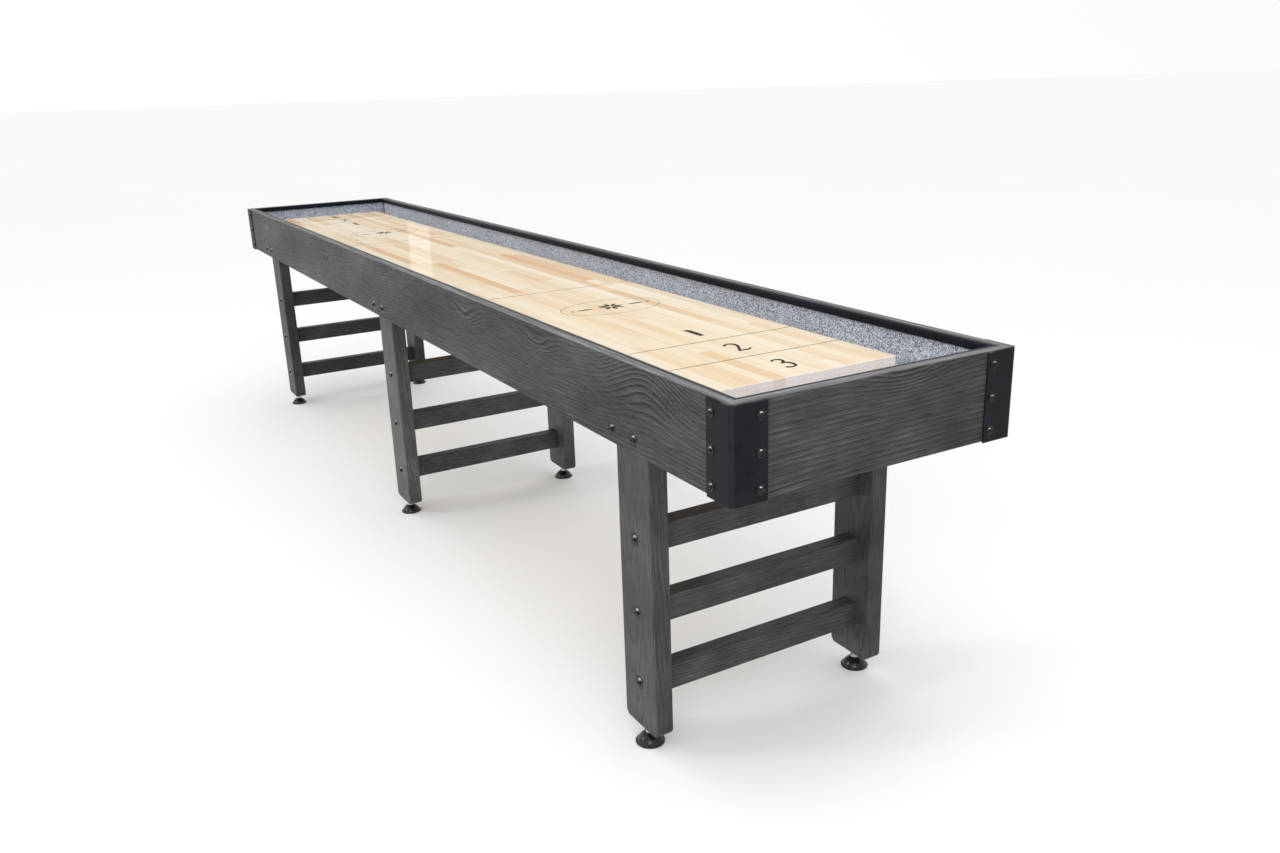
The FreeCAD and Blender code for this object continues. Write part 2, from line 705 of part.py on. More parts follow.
def apron_bolts():
    """Bolts and washers through the side boards into the posts."""
    solids = []
    reach = BOARD - COUNTERBORE_DEPTH + POST_THICK + WASHER_THICK + NUT_HEIGHT + CLEAR
    for frame_x in FRAME_XS.values():
        for side in SIDES.values():
            for dx in (-APRON_BOLT_DX, APRON_BOLT_DX):
                y = side * (BOX_HALF_WIDTH - COUNTERBORE_DEPTH)
                solids += button_bolt(V(frame_x + dx, y, APRON_BOLT_Z), V(0, side, 0), reach)
    return solids


def apron_nuts():
    """Hexagon nuts and washers on the inner faces of the posts."""
    solids = []
    for frame_x in FRAME_XS.values():
        for side in SIDES.values():
            into = V(0, -side, 0)
            for dx in (-APRON_BOLT_DX, APRON_BOLT_DX):
                seat = V(frame_x + dx, side * POST_INNER_Y, APRON_BOLT_Z)
                solids.append(washer(WASHER_R, BOLT_HOLE_R, WASHER_THICK, seat, into))
                start = seat + into * WASHER_THICK
                nut = hexagon(NUT_ACROSS, start, into, NUT_HEIGHT)
                bore_start = start - into * CLEAR
                bore = rod(BOLT_R + THREAD_GAP, bore_start, into, NUT_HEIGHT + 2 * CLEAR)
                solids.append(nut.cut(bore))
    return solids


# ---- levelling feet --------------------------------------------------------------------------


def foot_place(frame_x, side):
    """The point on the floor under the middle of a post."""
    return V(frame_x, side * (INNER_HALF_WIDTH - POST_THICK / 2), 0)


def foot_places():
    """Name and floor point of each levelling foot."""
    for frame, frame_x in FRAME_XS.items():
        for side_name, side in SIDES.items():
            yield f"{frame}_{side_name}", foot_place(frame_x, side)


def tee_nuts():
    """Flanged threaded inserts in the bottoms of the posts."""
    nuts = []
    height = TEE_FLANGE + TEE_BARREL
    for _, foot in foot_places():
        bottom = foot + UP * (POST_BOTTOM - TEE_FLANGE)
        flange = rod(TEE_FLANGE_R, bottom, UP, TEE_FLANGE)
        body = flange.fuse(rod(TEE_BARREL_R, bottom, UP, height)).removeSplitter()
        nuts.append(body.cut(rod(STUD_R + THREAD_GAP, bottom - UP * CLEAR, UP, height + 2 * CLEAR)))
    return nuts


def leveler_pad(foot):
    """The domed foot: a rim on the floor, a bell above it and a socket for the stud."""
    socket_r = STUD_R + THREAD_GAP
    shoulder = V(BELL_R * BELL_SHOULDER, 0, PAD_HEIGHT * BELL_SHOULDER)
    points = {
        "rim_low": V(PAD_R - PAD_EDGE, 0, 0),
        "rim_side": V(PAD_R, 0, PAD_EDGE),
        "rim_top": V(PAD_R, 0, PAD_RIM - PAD_EDGE),
        "rim_eased": V(PAD_R - PAD_EDGE, 0, PAD_RIM),
        "bell_low": V(BELL_R, 0, PAD_RIM),
        "neck": V(PAD_NECK_R, 0, PAD_HEIGHT),
    }
    edges = [
        Part.LineSegment(V(0, 0, 0), points["rim_low"]),
        Part.LineSegment(points["rim_low"], points["rim_side"]),
        Part.LineSegment(points["rim_side"], points["rim_top"]),
        Part.LineSegment(points["rim_top"], points["rim_eased"]),
        Part.LineSegment(points["rim_eased"], points["bell_low"]),
        Part.Arc(points["bell_low"], shoulder, points["neck"]),
        Part.LineSegment(points["neck"], V(socket_r, 0, PAD_HEIGHT)),
        Part.LineSegment(V(socket_r, 0, PAD_HEIGHT), V(socket_r, 0, PAD_SOCKET_FLOOR)),
        Part.LineSegment(V(socket_r, 0, PAD_SOCKET_FLOOR), V(0, 0, PAD_SOCKET_FLOOR)),
        Part.LineSegment(V(0, 0, PAD_SOCKET_FLOOR), V(0, 0, 0)),
    ]
    profile = Part.Face(Part.Wire([edge.toShape() for edge in edges]))
    pad = profile.revolve(V(0, 0, 0), UP, 360)
    pad.translate(foot)
    return pad


def leveler_stud(foot):
    """The threaded stud that turns in the pad, with its spanner hexagon."""
    bottom = PAD_SOCKET_FLOOR + THREAD_GAP
    shank = rod(STUD_R, foot + UP * bottom, UP, STUD_TOP - bottom)
    flats = hexagon(HEX_ACROSS, foot + UP * STUD_HEX_BOTTOM, UP, STUD_HEX_HEIGHT)
    return shank.fuse(flats).removeSplitter()


# ---- the whole table -------------------------------------------------------------------------


def table_nodes():
    """Every node's solids, by the node's name."""
    nodes = {}
    nodes.update(apron_boards())
    nodes.update(bumpers())
    nodes.update(gutter_floors())
    nodes.update(corner_brackets())
    nodes["floor_carpets"] = floor_carpets()
    nodes["wall_carpets"] = wall_carpets()
    nodes["cross_bearers"] = cross_bearers()
    nodes["playfield"] = playfield()
    nodes["playfield_runners"] = playfield_runners()
    nodes["playfield_screws"] = playfield_screws()
    nodes["splice_plates"] = splice_plates()
    nodes["splice_screws"] = splice_screws()
    nodes["bracket_screws"] = [
        solid for seat, out in bracket_screw_places() for solid in bracket_screw(seat, out)
    ]
    nodes["adjuster_angles"] = [adjuster_angle(x, s) for x in ADJUSTER_XS for s in SIDES.values()]
    nodes["adjuster_screws"] = adjuster_screws()
    for number, x in enumerate(ADJUSTER_XS, start=1):
        nodes[f"adjuster_rod_{number}"] = adjuster_rod(x)
    for frame, frame_x in FRAME_XS.items():
        for side_name, side in SIDES.items():
            nodes[f"{frame}_{side_name}_post"] = mirrored(front_post(frame_x), side)
        nodes[f"{frame}_rungs"] = rungs(frame_x)
    nodes["leg_top_rails"] = leg_top_rails()
    nodes["leg_bolts"] = leg_bolts()
    nodes["barrel_nuts"] = barrel_nuts()
    nodes["apron_bolts"] = apron_bolts()
    nodes["apron_nuts"] = apron_nuts()
    nodes["tee_nuts"] = tee_nuts()
    for name, foot in foot_places():
        nodes[f"{name}_leveler_pad"] = leveler_pad(foot)
        nodes[f"{name}_leveler_stud"] = leveler_stud(foot)
    return nodes


def main():
    os.makedirs("parts", exist_ok=True)
    for name, made in table_nodes().items():
        shapes = made if isinstance(made, list) else [made]
        solids = [solid for shape in shapes for solid in shape.Solids]
        shape = solids[0] if len(solids) == 1 else Part.makeCompound(solids)
        if not shape.isValid():
            raise ValueError(f"{name} is not a valid solid")
        shape.exportStep(f"parts/{name}.step")
        print(name, len(solids), round(sum(solid.Volume for solid in solids)))


main()
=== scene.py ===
import math

import bpy
import numpy as np
from mathutils import Matrix, Vector


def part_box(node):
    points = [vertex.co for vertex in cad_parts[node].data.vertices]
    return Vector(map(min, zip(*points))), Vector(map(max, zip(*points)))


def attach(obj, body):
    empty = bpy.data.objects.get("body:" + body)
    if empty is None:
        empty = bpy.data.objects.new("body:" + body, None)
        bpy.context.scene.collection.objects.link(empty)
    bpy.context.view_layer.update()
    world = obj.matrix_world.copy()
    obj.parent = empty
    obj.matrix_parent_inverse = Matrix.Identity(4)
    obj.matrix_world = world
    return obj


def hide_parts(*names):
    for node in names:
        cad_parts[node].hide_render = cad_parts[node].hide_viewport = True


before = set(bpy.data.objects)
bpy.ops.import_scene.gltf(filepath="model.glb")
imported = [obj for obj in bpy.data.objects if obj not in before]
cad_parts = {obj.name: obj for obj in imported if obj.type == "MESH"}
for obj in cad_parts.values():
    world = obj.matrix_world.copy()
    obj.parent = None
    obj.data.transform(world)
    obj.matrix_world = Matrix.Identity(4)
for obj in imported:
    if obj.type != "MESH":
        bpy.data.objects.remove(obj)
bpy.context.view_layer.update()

# Camera: where it stands, the point it looks at, its roll, its lens on a 36 mm sensor, and its range
CAMERA_PLACE = Vector((3.0901, -1.1939, 1.2709))
CAMERA_AIM = Vector((1.4391, -0.2474, 0.6560))
CAMERA_ROLL = math.radians(-1.832)
CAMERA_LENS = 29.848
CAMERA_CLIP = (0.05, 200.0)

# Studio: the way to its big window, its brightness away from the window and towards it, and how much
# brighter it is at the horizon, fading out at a height above it; then half the width of its floor
WINDOW_WAY = (-0.45, -0.85, 0.28)
SKY_DIM = 1.03
SKY_BRIGHT = 1.38
HAZE = 1.08
HAZE_HEIGHT = 0.35
FLOOR_HALF = 200.0

# Lights: where each hangs, where it points, its size and its watts
LIGHTS = {
    "near_top": ((2.0, -0.4, 2.8), (1.6, 0.0, 0.7), (1.2, 1.2), 10.5),
    "key": ((-0.9, -4.6, 3.0), (0.6, 0.0, 0.6), (0.9, 0.9), 38.0),
    "fill": ((5.4, -2.8, 3.0), (1.8, 0.0, 0.7), (2.6, 1.8), 64.0),
    "strip": ((-3.546, 1.023, 1.17), (3.074, -1.237, 1.17), (0.13, 0.54), 0.29),
}

# Playfield: fourteen staves side by side, and where the ink lies along it
STAVES = 14
LINE_XS = (0.614, 1.321, 1.476)
DIGIT_XS = {"one": 1.242, "two": 1.401, "three": 1.557}
BADGE_X = 0.885
BADGE_HALF = (0.1275, 0.080)
BADGE_RING = 0.0013
LINE_WIDTH = 0.0021
LINE_MARGIN = 0.0022
DIGIT_HEIGHT = 0.064
DIGIT_HAIRLINE = 0.08 * DIGIT_HEIGHT
NIB_SLANT = math.radians(35.0)
INK_LIFT = 0.0002

# Carpet: size of a tuft, and how far the pile stands proud of its backing
TUFT = 0.0035
PILE = 0.0009

# Screws: depth of a bolt's washer below the top of its head; the widths of the bright edges of screws and
# bolts, partly wear and partly painted highlight, and of the washers' rims, dark with painted shadow
WASHER_DEPTH = 0.0047
SCREW_EDGE = 0.0005
BOLT_EDGE = 0.0010
WASHER_EDGE = 0.0028

# Threaded pieces: their radius, the pitch and depth of thread, the plain ends of a thread, their
# hexagons, how much a tip narrows, and sides to a turn
ROD_RADIUS = 0.005
THREAD_PITCH = 0.0015
THREAD_DEPTH = 0.0009
PLAIN_TIP = 0.001
PLAIN_NECK = 0.0002
STUD_HEX_GAP = 0.0005
STUD_HEX_HEIGHT = 0.006
ROD_HEX_HALF = 0.015
STUD_CHAMFER = 0.0008
STUD_TIP = 0.0016
ROD_TIP = 0.0014
STUD_SEGMENTS = 36
ROD_SEGMENTS = 24
SHARP_ANGLE = math.radians(32.0)

ENDS = {"left": -1.0, "right": 1.0}
SIDES = {"front": -1.0, "back": 1.0}
LEG_FRAMES = ("left", "middle", "right")


# ---- node graphs -----------------------------------------------------------------------------


class Graph:
    """One procedural material, written as short calls. Places are in the table's own frame."""

    def __init__(self, name):
        self.material = bpy.data.materials.new(name)
        self.material.use_nodes = True
        self.tree = self.material.node_tree
        self.tree.nodes.clear()
        self.place = self.node("ShaderNodeTexCoord").outputs["Object"]
        self.x, self.y, self.z = self.split(self.place)

    def node(self, kind, inputs=None, **settings):
        """A new node, its inputs fed with values or other nodes' outputs."""
        made = self.tree.nodes.new(kind)
        for key, value in settings.items():
            setattr(made, key, value)
        for key, value in (inputs or {}).items():
            self.feed(made.inputs[key], value)
        return made

    def feed(self, socket, value):
        if isinstance(value, bpy.types.NodeSocket):
            self.tree.links.new(value, socket)
        else:
            socket.default_value = value

    def math(self, operation, *values):
        """One step of arithmetic."""
        return self.node("ShaderNodeMath", dict(enumerate(values)), operation=operation).outputs[0]

    def add(self, a, b):
        return self.math("ADD", a, b)

    def times(self, a, b):
        return self.math("MULTIPLY", a, b)

    def split(self, vector):
        """The three parts of a vector or colour."""
        return tuple(self.node("ShaderNodeSeparateXYZ", {0: vector}).outputs)

    def join(self, x, y, z):
        return self.node("ShaderNodeCombineXYZ", {0: x, 1: y, 2: z}).outputs[0]

    def stretch(self, vector, scale, shift=(0.0, 0.0, 0.0)):
        """The vector times a scale in each direction, and then shifted."""
        made = self.node("ShaderNodeVectorMath", {0: vector, 1: scale, 2: shift}, operation="MULTIPLY_ADD")
        return made.outputs[0]

    def noise(self, at, detail=2.0, roughness=0.5, distortion=0.0):
        """Smooth noise about 0.5, one lump to each unit of the place."""
        inputs = dict(Vector=at, Scale=1.0, Detail=detail, Roughness=roughness, Distortion=distortion)
        return self.node("ShaderNodeTexNoise", inputs).outputs[0]

    def cells(self, at):
        """Cells about scattered points, one to each unit: its outputs are Distance and Color."""
        return self.node("ShaderNodeTexVoronoi", dict(Vector=at, Scale=1.0))

    def chance(self, x, y=0.0, z=0.0):
        """Three random numbers that hold for all points with the same x, y and z."""
        made = self.node("ShaderNodeTexWhiteNoise", {"Vector": self.join(x, y, z)}, noise_dimensions="3D")
        return self.split(made.outputs["Color"])

    def spread(self, value, low, high, to_low=0.0, to_high=1.0):
        """A range of the value stretched over another range, and held at its ends."""
        inputs = {0: value, 1: low, 2: high, 3: to_low, 4: to_high}
        return self.node("ShaderNodeMapRange", inputs).outputs[0]

    def ramp(self, value, stops):
        """The greys or colours at some values, and in between."""
        made = self.node("ShaderNodeValToRGB", {0: value})
        elements = made.color_ramp.elements
        for at, _ in stops[2:]:
            elements.new(at)
        for element, (at, colour) in zip(elements, stops):
            element.position = at
            element.color = (colour, colour, colour, 1.0) if isinstance(colour, float) else (*colour, 1.0)
        return made.outputs[0]

    def mix(self, share, a, b, how="MIX"):
        """Colour a with a share of colour b over it."""
        made = self.node("ShaderNodeMix", data_type="RGBA", blend_type=how)
        for index, value in ((0, share), (6, a), (7, b)):
            self.feed(made.inputs[index], (*value, 1.0) if isinstance(value, tuple) else value)
        return made.outputs[2]

    def near_edge(self, radius, flat, sharp):
        """0 to 1 within a radius of an edge, where the eased normal leaves the face's own."""
        eased = self.node("ShaderNodeBevel", {"Radius": radius}, samples=6).outputs[0]
        own = self.node("ShaderNodeNewGeometry").outputs["Normal"]
        likeness = self.node("ShaderNodeVectorMath", {0: eased, 1: own}, operation="DOT_PRODUCT")
        return self.spread(likeness.outputs["Value"], flat, sharp)

    def bump(self, height, distance, strength=1.0):
        inputs = {"Height": height, "Distance": distance, "Strength": strength}
        return self.node("ShaderNodeBump", inputs).outputs[0]

    def finish(self, **sockets):
        """Ends the graph in a principled shader. Underscores in the names stand for spaces."""
        shader = self.node("ShaderNodeBsdfPrincipled")
        for key, value in sockets.items():
            self.feed(shader.inputs[key.replace("_", " ")], value)
        output = self.node("ShaderNodeOutputMaterial")
        self.tree.links.new(shader.outputs[0], output.inputs[0])
        return self.material


def shaded(stops, share):
    """A ramp's stops, with every colour times the share."""
    return [(at, tuple(part * share for part in colour)) for at, colour in stops]


# ---- wood ------------------------------------------------------------------------------------


def grain_frame(g, along):
    """Coordinates along the grain, across the broad face and into the piece."""
    return {"X": (g.x, g.z, g.y), "Y": (g.y, g.z, g.x), "Z": (g.z, g.x, g.y)}[along]


def growth_rings(g, along, heart, tilt, spacing, wobble, knots=()):
    """0 to 1 across each growth ring, a random number for the ring, and how near a knot it is.

    The log's heart passes through a point, at a slope to the grain. Each knot is a place along and across the
    grain, its half sizes, and how far it pushes the rings aside.
    """
    u, v, w = grain_frame(g, along)
    du = g.add(u, -heart[0])
    dv = g.add(v, -heart[1])
    dw = g.add(g.add(w, -heart[2]), g.times(du, tilt))
    waves = g.join(g.times(u, 2.3), g.times(v, 9.0), g.times(w, 9.0))
    ripple = g.join(g.times(u, 9.0), g.times(v, 22.0), g.times(w, 22.0))
    bend_v = g.times(g.add(g.noise(waves, 2.0), -0.5), wobble * 2.4)
    bend_w = g.times(g.add(g.noise(g.stretch(waves, (1, 1, 1), (7.3, 1.9, 4.4)), 2.0), -0.5), wobble * 3.0)
    square_v = g.math("POWER", g.add(dv, bend_v), 2.0)
    square_w = g.math("POWER", g.add(dw, bend_w), 2.0)
    r = g.math("SQRT", g.add(square_v, square_w))
    r = g.add(r, g.times(g.add(g.noise(ripple, 3.0), -0.5), wobble * 0.9))
    near = 0.0
    for place_u, place_v, size_u, size_v, push in knots:
        off_u = g.math("POWER", g.times(g.add(u, -place_u), 1.0 / size_u), 2.0)
        off_v = g.math("POWER", g.times(g.add(v, -place_v), 1.0 / size_v), 2.0)
        swell = g.math("EXPONENT", g.times(g.add(off_u, off_v), -1.0))
        r = g.add(r, g.times(swell, push))
        near = g.add(near, swell)
    rings = g.times(r, 1.0 / spacing)
    return g.math("FRACT", rings), g.chance(g.math("FLOOR", rings), 2.0)[0], near


def streaks(g, along, fine, seed, detail=3.0):
    """Long thin noise along the grain; fine is how many streaks lie in a metre across it."""
    u, v, w = grain_frame(g, along)
    long = fine * 0.03
    at = g.join(g.add(g.times(u, long), seed), g.times(v, fine), g.times(w, fine))
    return g.noise(at, detail, 0.6)


def charcoal(
    name, along, heart, seed, tone, tilt, spacing, figure,
    knots=(), rail_top=None, wobble=0.006, top_wear_and_painted_light=1.0, corners=None, gloss=0.14, fade=None,
):
    """Charcoal-stained wood, wire brushed so that the grain stands out, under a satin lacquer.

    Tone is its brightness, figure how plainly the rings show. The rail's top is paler, partly by wear and
    partly by painted light on its top face. The four corners of a post, whose box is given, get a pale line
    that is partly wear and partly painted highlight, and the post's faces across x get painted shade. A fade
    is painted shade along the
    grain: two places along it, with the share of the tone that is left at the first and at the second.
    """
    g = Graph(name)
    ring, luck, near = growth_rings(g, along, heart, tilt, spacing, wobble, knots)
    early = g.ramp(ring, [(0.0, 0.35), (0.10, 0.85), (0.30, 0.66), (0.66, 0.52), (0.90, 0.0), (1.0, 0.35)])
    fibre = streaks(g, along, 520.0, seed)
    brushed = streaks(g, along, 1300.0, seed + 3.1, 2.0)
    cloud = g.noise(g.stretch(g.place, (3.0, 9.0, 9.0), (seed, 0.0, 0.0)), 3.0)
    patches = g.noise(g.stretch(g.place, (5.0, 12.0, 12.0), (0.0, seed, 0.0)), 2.0)
    strength = g.spread(patches, 0.3, 0.7, 0.34, 0.95)
    strength = g.times(strength, g.spread(luck, 0.0, 1.0, 0.35 * figure, 1.25 * figure))
    strength = g.add(strength, g.times(g.spread(near, 0.15, 0.8), 0.55))
    thin = streaks(g, along, 900.0, seed + 8.4, 1.0)
    pores = g.ramp(thin, [(0.0, 1.0), (0.33, 0.8), (0.4, 0.0), (1.0, 0.0)])
    level = g.add(0.52, g.times(g.add(early, -0.52), strength))
    level = g.add(level, g.times(g.add(fibre, -0.5), 0.75))
    level = g.add(level, g.times(g.add(brushed, -0.5), 0.72))
    level = g.add(level, g.times(g.add(cloud, -0.5), 0.70))
    level = g.add(level, g.times(pores, -0.12))
    stain = [
        (0.0, (0.013, 0.0128, 0.0128)),
        (0.30, (0.032, 0.0310, 0.0306)),
        (0.52, (0.056, 0.0542, 0.0532)),
        (0.76, (0.098, 0.0952, 0.0930)),
        (1.0, (0.170, 0.165, 0.161)),
    ]
    colour = g.ramp(level, shaded(stain, tone))
    # Painted shade: the fade darkens the colour along the grain, towards one end
    if fade is not None:
        colour = g.mix(1.0, colour, g.spread(grain_frame(g, along)[0], *fade), "MULTIPLY")
    if rail_top is not None:
        # Paler top of the rail: partly rubbed wear, partly painted light on its top face, more on the end
        # boards
        worn = g.spread(g.z, rail_top - 0.0022, rail_top - 0.0003)
        broad = streaks(g, along, 150.0, seed + 5.0)
        rubbed = g.add(0.5, g.add(g.times(g.add(broad, -0.5), 2.0), g.times(g.add(fibre, -0.5), 1.2)))
        pale = [(0.1, (0.066, 0.067, 0.070)), (0.5, (0.132, 0.133, 0.137)), (0.9, (0.26, 0.26, 0.265))]
        colour = g.mix(worn, colour, g.ramp(rubbed, shaded(pale, top_wear_and_painted_light)))
    if corners is not None:
        # Along a post's four corners: a pale line, partly wear and partly painted highlight
        reach = [
            g.add(g.math("ABSOLUTE", g.add(place, -(low + high) / 2)), -(high - low) / 2)
            for place, low, high in zip((g.x, g.y), *corners)
        ]
        edge = g.spread(g.math("MINIMUM", *reach), -0.0020, -0.0002, 0.0, 0.55)
        edge = g.times(edge, g.spread(fibre, 0.3, 0.6, 0.3, 1.0))
        colour = g.mix(edge, colour, (0.17, 0.168, 0.166))
        # Painted shade: the post's faces across x, and a thin strip of the others beside them, are darker
        x_faces_painted_shade = g.spread(reach[0], -0.0016, -0.0004, 1.0, 0.84)
        colour = g.mix(1.0, colour, x_faces_painted_shade, "MULTIPLY")
    height = g.add(g.times(early, 0.5), g.add(g.times(brushed, 0.5), g.times(pores, -0.5)))
    return g.finish(
        Base_Color=colour,
        Roughness=g.spread(fibre, 0.25, 0.75, 0.56, 0.40),
        Normal=g.bump(height, 0.0004, 0.7),
        Specular_IOR_Level=gloss,
    )


def raw_wood(name, along, heart, seed):
    """Planed wood with no finish, with soft growth rings and saw-dull fibres."""
    g = Graph(name)
    ring = growth_rings(g, along, heart, 0.03, 0.006, 0.004)[0]
    line = g.ramp(ring, [(0.0, 0.0), (0.6, 0.35), (0.93, 1.0), (1.0, 0.0)])
    fibre = streaks(g, along, 300.0, seed)
    cloud = g.noise(g.stretch(g.place, (2.0, 2.0, 2.0), (seed, 1.0, 2.0)), 3.0)
    level = g.add(g.times(line, 0.55), g.add(g.times(fibre, 0.5), g.times(cloud, 0.35)))
    colour = g.ramp(level, [(0.2, (0.50, 0.375, 0.235)), (1.0, (0.29, 0.185, 0.10))])
    return g.finish(
        Base_Color=colour,
        Roughness=g.spread(fibre, 0.3, 0.7, 0.62, 0.78),
        Normal=g.bump(g.add(fibre, g.times(line, -0.4)), 0.0003, 0.6),
    )


def plywood(name, top_z):
    """Sanded plywood, its veneers showing as bands on the cut edges."""
    g = Graph(name)
    fibre = streaks(g, "X", 240.0, 3.7)
    figure = g.noise(g.stretch(g.place, (1.2, 12.0, 40.0), (2.0, 0.0, 0.0)), 3.0, 0.6, 1.2)
    depth = g.times(g.add(g.z, -top_z), 1.0 / 0.0024)
    band = g.math("PINGPONG", depth, 1.0)
    level = g.add(g.times(fibre, 0.45), g.add(g.times(figure, 0.55), g.times(band, 0.18)))
    colour = g.ramp(level, [(0.2, (0.52, 0.40, 0.265)), (0.95, (0.34, 0.23, 0.135))])
    return g.finish(
        Base_Color=colour,
        Roughness=g.spread(fibre, 0.3, 0.7, 0.60, 0.74),
        Normal=g.bump(fibre, 0.00025, 0.6),
    )


def butcher_block(name, low, high):
    """Edge-glued staves of pale wood, each of its own tone, under a clear poured polymer."""
    g = Graph(name)
    stave = (high.y - low.y) / STAVES
    across = g.times(g.add(g.y, -low.y), 1.0 / stave)
    row = g.math("FLOOR", across)
    first, second, _ = g.chance(row, 3.0, 1.0)
    length = g.spread(first, 0.0, 1.0, 0.42, 0.80)
    along = g.math("DIVIDE", g.add(g.x, g.add(g.times(second, 1.7), 4.0)), length)
    piece = g.math("FLOOR", along)
    tone, shift, turn = g.chance(row, piece, 9.0)
    tone = g.add(tone, g.spread(g.math("ABSOLUTE", g.x), 0.0, 1.6, 0.11, -0.09))

    local_x = g.add(g.x, g.times(shift, 9.0))
    local_y = g.add(g.y, g.times(turn, 3.0))
    local = g.join(local_x, local_y, g.add(g.z, g.times(shift, 2.0)))
    figure = g.noise(g.stretch(local, (2.2, 34.0, 34.0)), 3.0, 0.55, 0.6)
    fibre = g.noise(g.stretch(local, (16.0, 420.0, 420.0)), 3.0, 0.6)
    pores = g.noise(g.stretch(local, (42.0, 760.0, 760.0)), 1.0)
    flecks = g.ramp(pores, [(0.0, 1.0), (0.27, 0.6), (0.33, 0.0), (1.0, 0.0)])
    base = g.ramp(
        tone,
        [
            (0.0, (0.755, 0.695, 0.585)),
            (0.30, (0.735, 0.655, 0.515)),
            (0.60, (0.710, 0.605, 0.445)),
            (0.78, (0.690, 0.550, 0.380)),
            (0.92, (0.665, 0.490, 0.315)),
            (1.0, (0.620, 0.415, 0.245)),
        ],
    )
    streak = g.ramp(
        figure,
        [(0.28, (0.90, 0.80, 0.68)), (0.46, (0.985, 0.96, 0.92)), (0.72, (1.02, 1.02, 1.02))],
    )
    colour = g.mix(1.0, base, streak, "MULTIPLY")
    colour = g.mix(g.spread(fibre, 0.38, 0.72, 0.0, 0.16), colour, (0.74, 0.56, 0.39))
    colour = g.mix(g.times(flecks, 0.14), colour, (0.40, 0.24, 0.12))

    side_gap = g.math("ABSOLUTE", g.add(g.math("FRACT", across), -0.5))
    end_gap = g.math("ABSOLUTE", g.add(g.math("FRACT", along), -0.5))
    glue = g.math("MAXIMUM", g.spread(side_gap, 0.488, 0.499), g.spread(end_gap, 0.4982, 0.4996))
    colour = g.mix(g.times(glue, 0.16), colour, (0.42, 0.28, 0.16))

    # End grain: pinker, and paler partly by its own colour and partly by painted light, with short arcs of
    # growth rings and painted glints as bright specks
    reach = g.math("ABSOLUTE", g.x)
    end_face = g.spread(reach, high.x - 0.0012, high.x - 0.0004)
    square_y = g.math("POWER", g.add(g.math("FRACT", across), g.add(turn, -1.0)), 2.0)
    square_z = g.math("POWER", g.times(g.add(g.z, g.times(shift, -0.06)), 14.0), 2.0)
    arcs = g.math("FRACT", g.times(g.math("SQRT", g.add(square_y, square_z)), 7.0))
    grit = g.noise(g.join(g.add(shift, 3.0), g.times(g.y, 250.0), g.times(g.z, 330.0)), 2.0)
    # Painted glints: small bright specks on the end face
    painted_glints = g.ramp(grit, [(0.56, 0.0), (0.66, 1.0)])
    # Paler end face: partly the end grain's own colour, partly painted light
    end_tone_and_painted_light = g.ramp(
        tone,
        [(0.0, (0.99, 0.895, 0.835)), (0.7, (0.96, 0.845, 0.775)), (1.0, (0.86, 0.71, 0.63))],
    )
    end_colour = g.mix(g.times(arcs, 0.16), end_tone_and_painted_light, (0.66, 0.54, 0.52))
    end_colour = g.mix(g.times(painted_glints, 0.8), end_colour, (1.0, 0.99, 0.98))
    colour = g.mix(end_face, colour, end_colour)

    height = g.add(g.times(fibre, 0.25), g.times(glue, -0.6))
    return g.finish(
        Base_Color=colour,
        Roughness=g.spread(figure, 0.3, 0.7, 0.34, 0.26),
        Normal=g.bump(height, 0.00006, 0.5),
        Specular_IOR_Level=0.0,
        Coat_Weight=0.20,
        Coat_Roughness=0.045,
    )


# ---- carpet, rubber and metal ----------------------------------------------------------------


def carpet(name):
    """Low looped pile in salt and pepper: each tuft has its own grey, a few of them blue."""
    g = Graph(name)
    sway = g.node("ShaderNodeTexNoise", {"Vector": g.place, "Scale": 260.0, "Detail": 1.0}).outputs["Color"]
    sway = g.stretch(sway, (0.0016, 0.0016, 0.0016))
    at = g.node("ShaderNodeVectorMath", {0: g.place, 1: sway}, operation="ADD").outputs[0]
    tufts = g.cells(g.stretch(at, (520.0, 520.0, 520.0)))
    shade, hue, _ = g.split(tufts.outputs["Color"])
    yarn = g.cells(g.stretch(at, (1100.0, 1100.0, 1100.0)))
    twist, _, _ = g.split(yarn.outputs["Color"])
    level = g.add(g.times(shade, 0.74), g.times(twist, 0.26))
    grey = g.ramp(
        level,
        [
            (0.14, (0.032, 0.037, 0.050)),
            (0.28, (0.185, 0.205, 0.26)),
            (0.42, (0.465, 0.50, 0.585)),
            (0.60, (0.755, 0.795, 0.88)),
            (0.80, (0.91, 0.935, 0.98)),
        ],
    )
    colour = g.mix(g.spread(hue, 0.80, 0.86, 0.0, 0.5), grey, (0.17, 0.22, 0.36))
    patch = g.noise(g.stretch(g.place, (6.0, 14.0, 14.0)), 3.0)
    colour = g.mix(1.0, colour, g.ramp(patch, [(0.3, 0.88), (0.7, 1.04)]), "MULTIPLY")
    # Painted shade: each tuft darker towards its edge, in the hollows between tufts
    shade_between_tufts = g.ramp(tufts.outputs["Distance"], [(0.25, 1.0), (0.75, 0.85)])
    colour = g.mix(1.0, colour, shade_between_tufts, "MULTIPLY")
    height = g.add(g.times(tufts.outputs["Distance"], -1.0), g.times(yarn.outputs["Distance"], -0.35))
    return g.finish(
        Base_Color=colour,
        Roughness=g.spread(twist, 0.0, 1.0, 0.86, 0.98),
        Normal=g.bump(height, 0.0011, 0.8),
        Sheen_Weight=0.36,
        Sheen_Roughness=0.5,
        Specular_IOR_Level=0.1,
    )


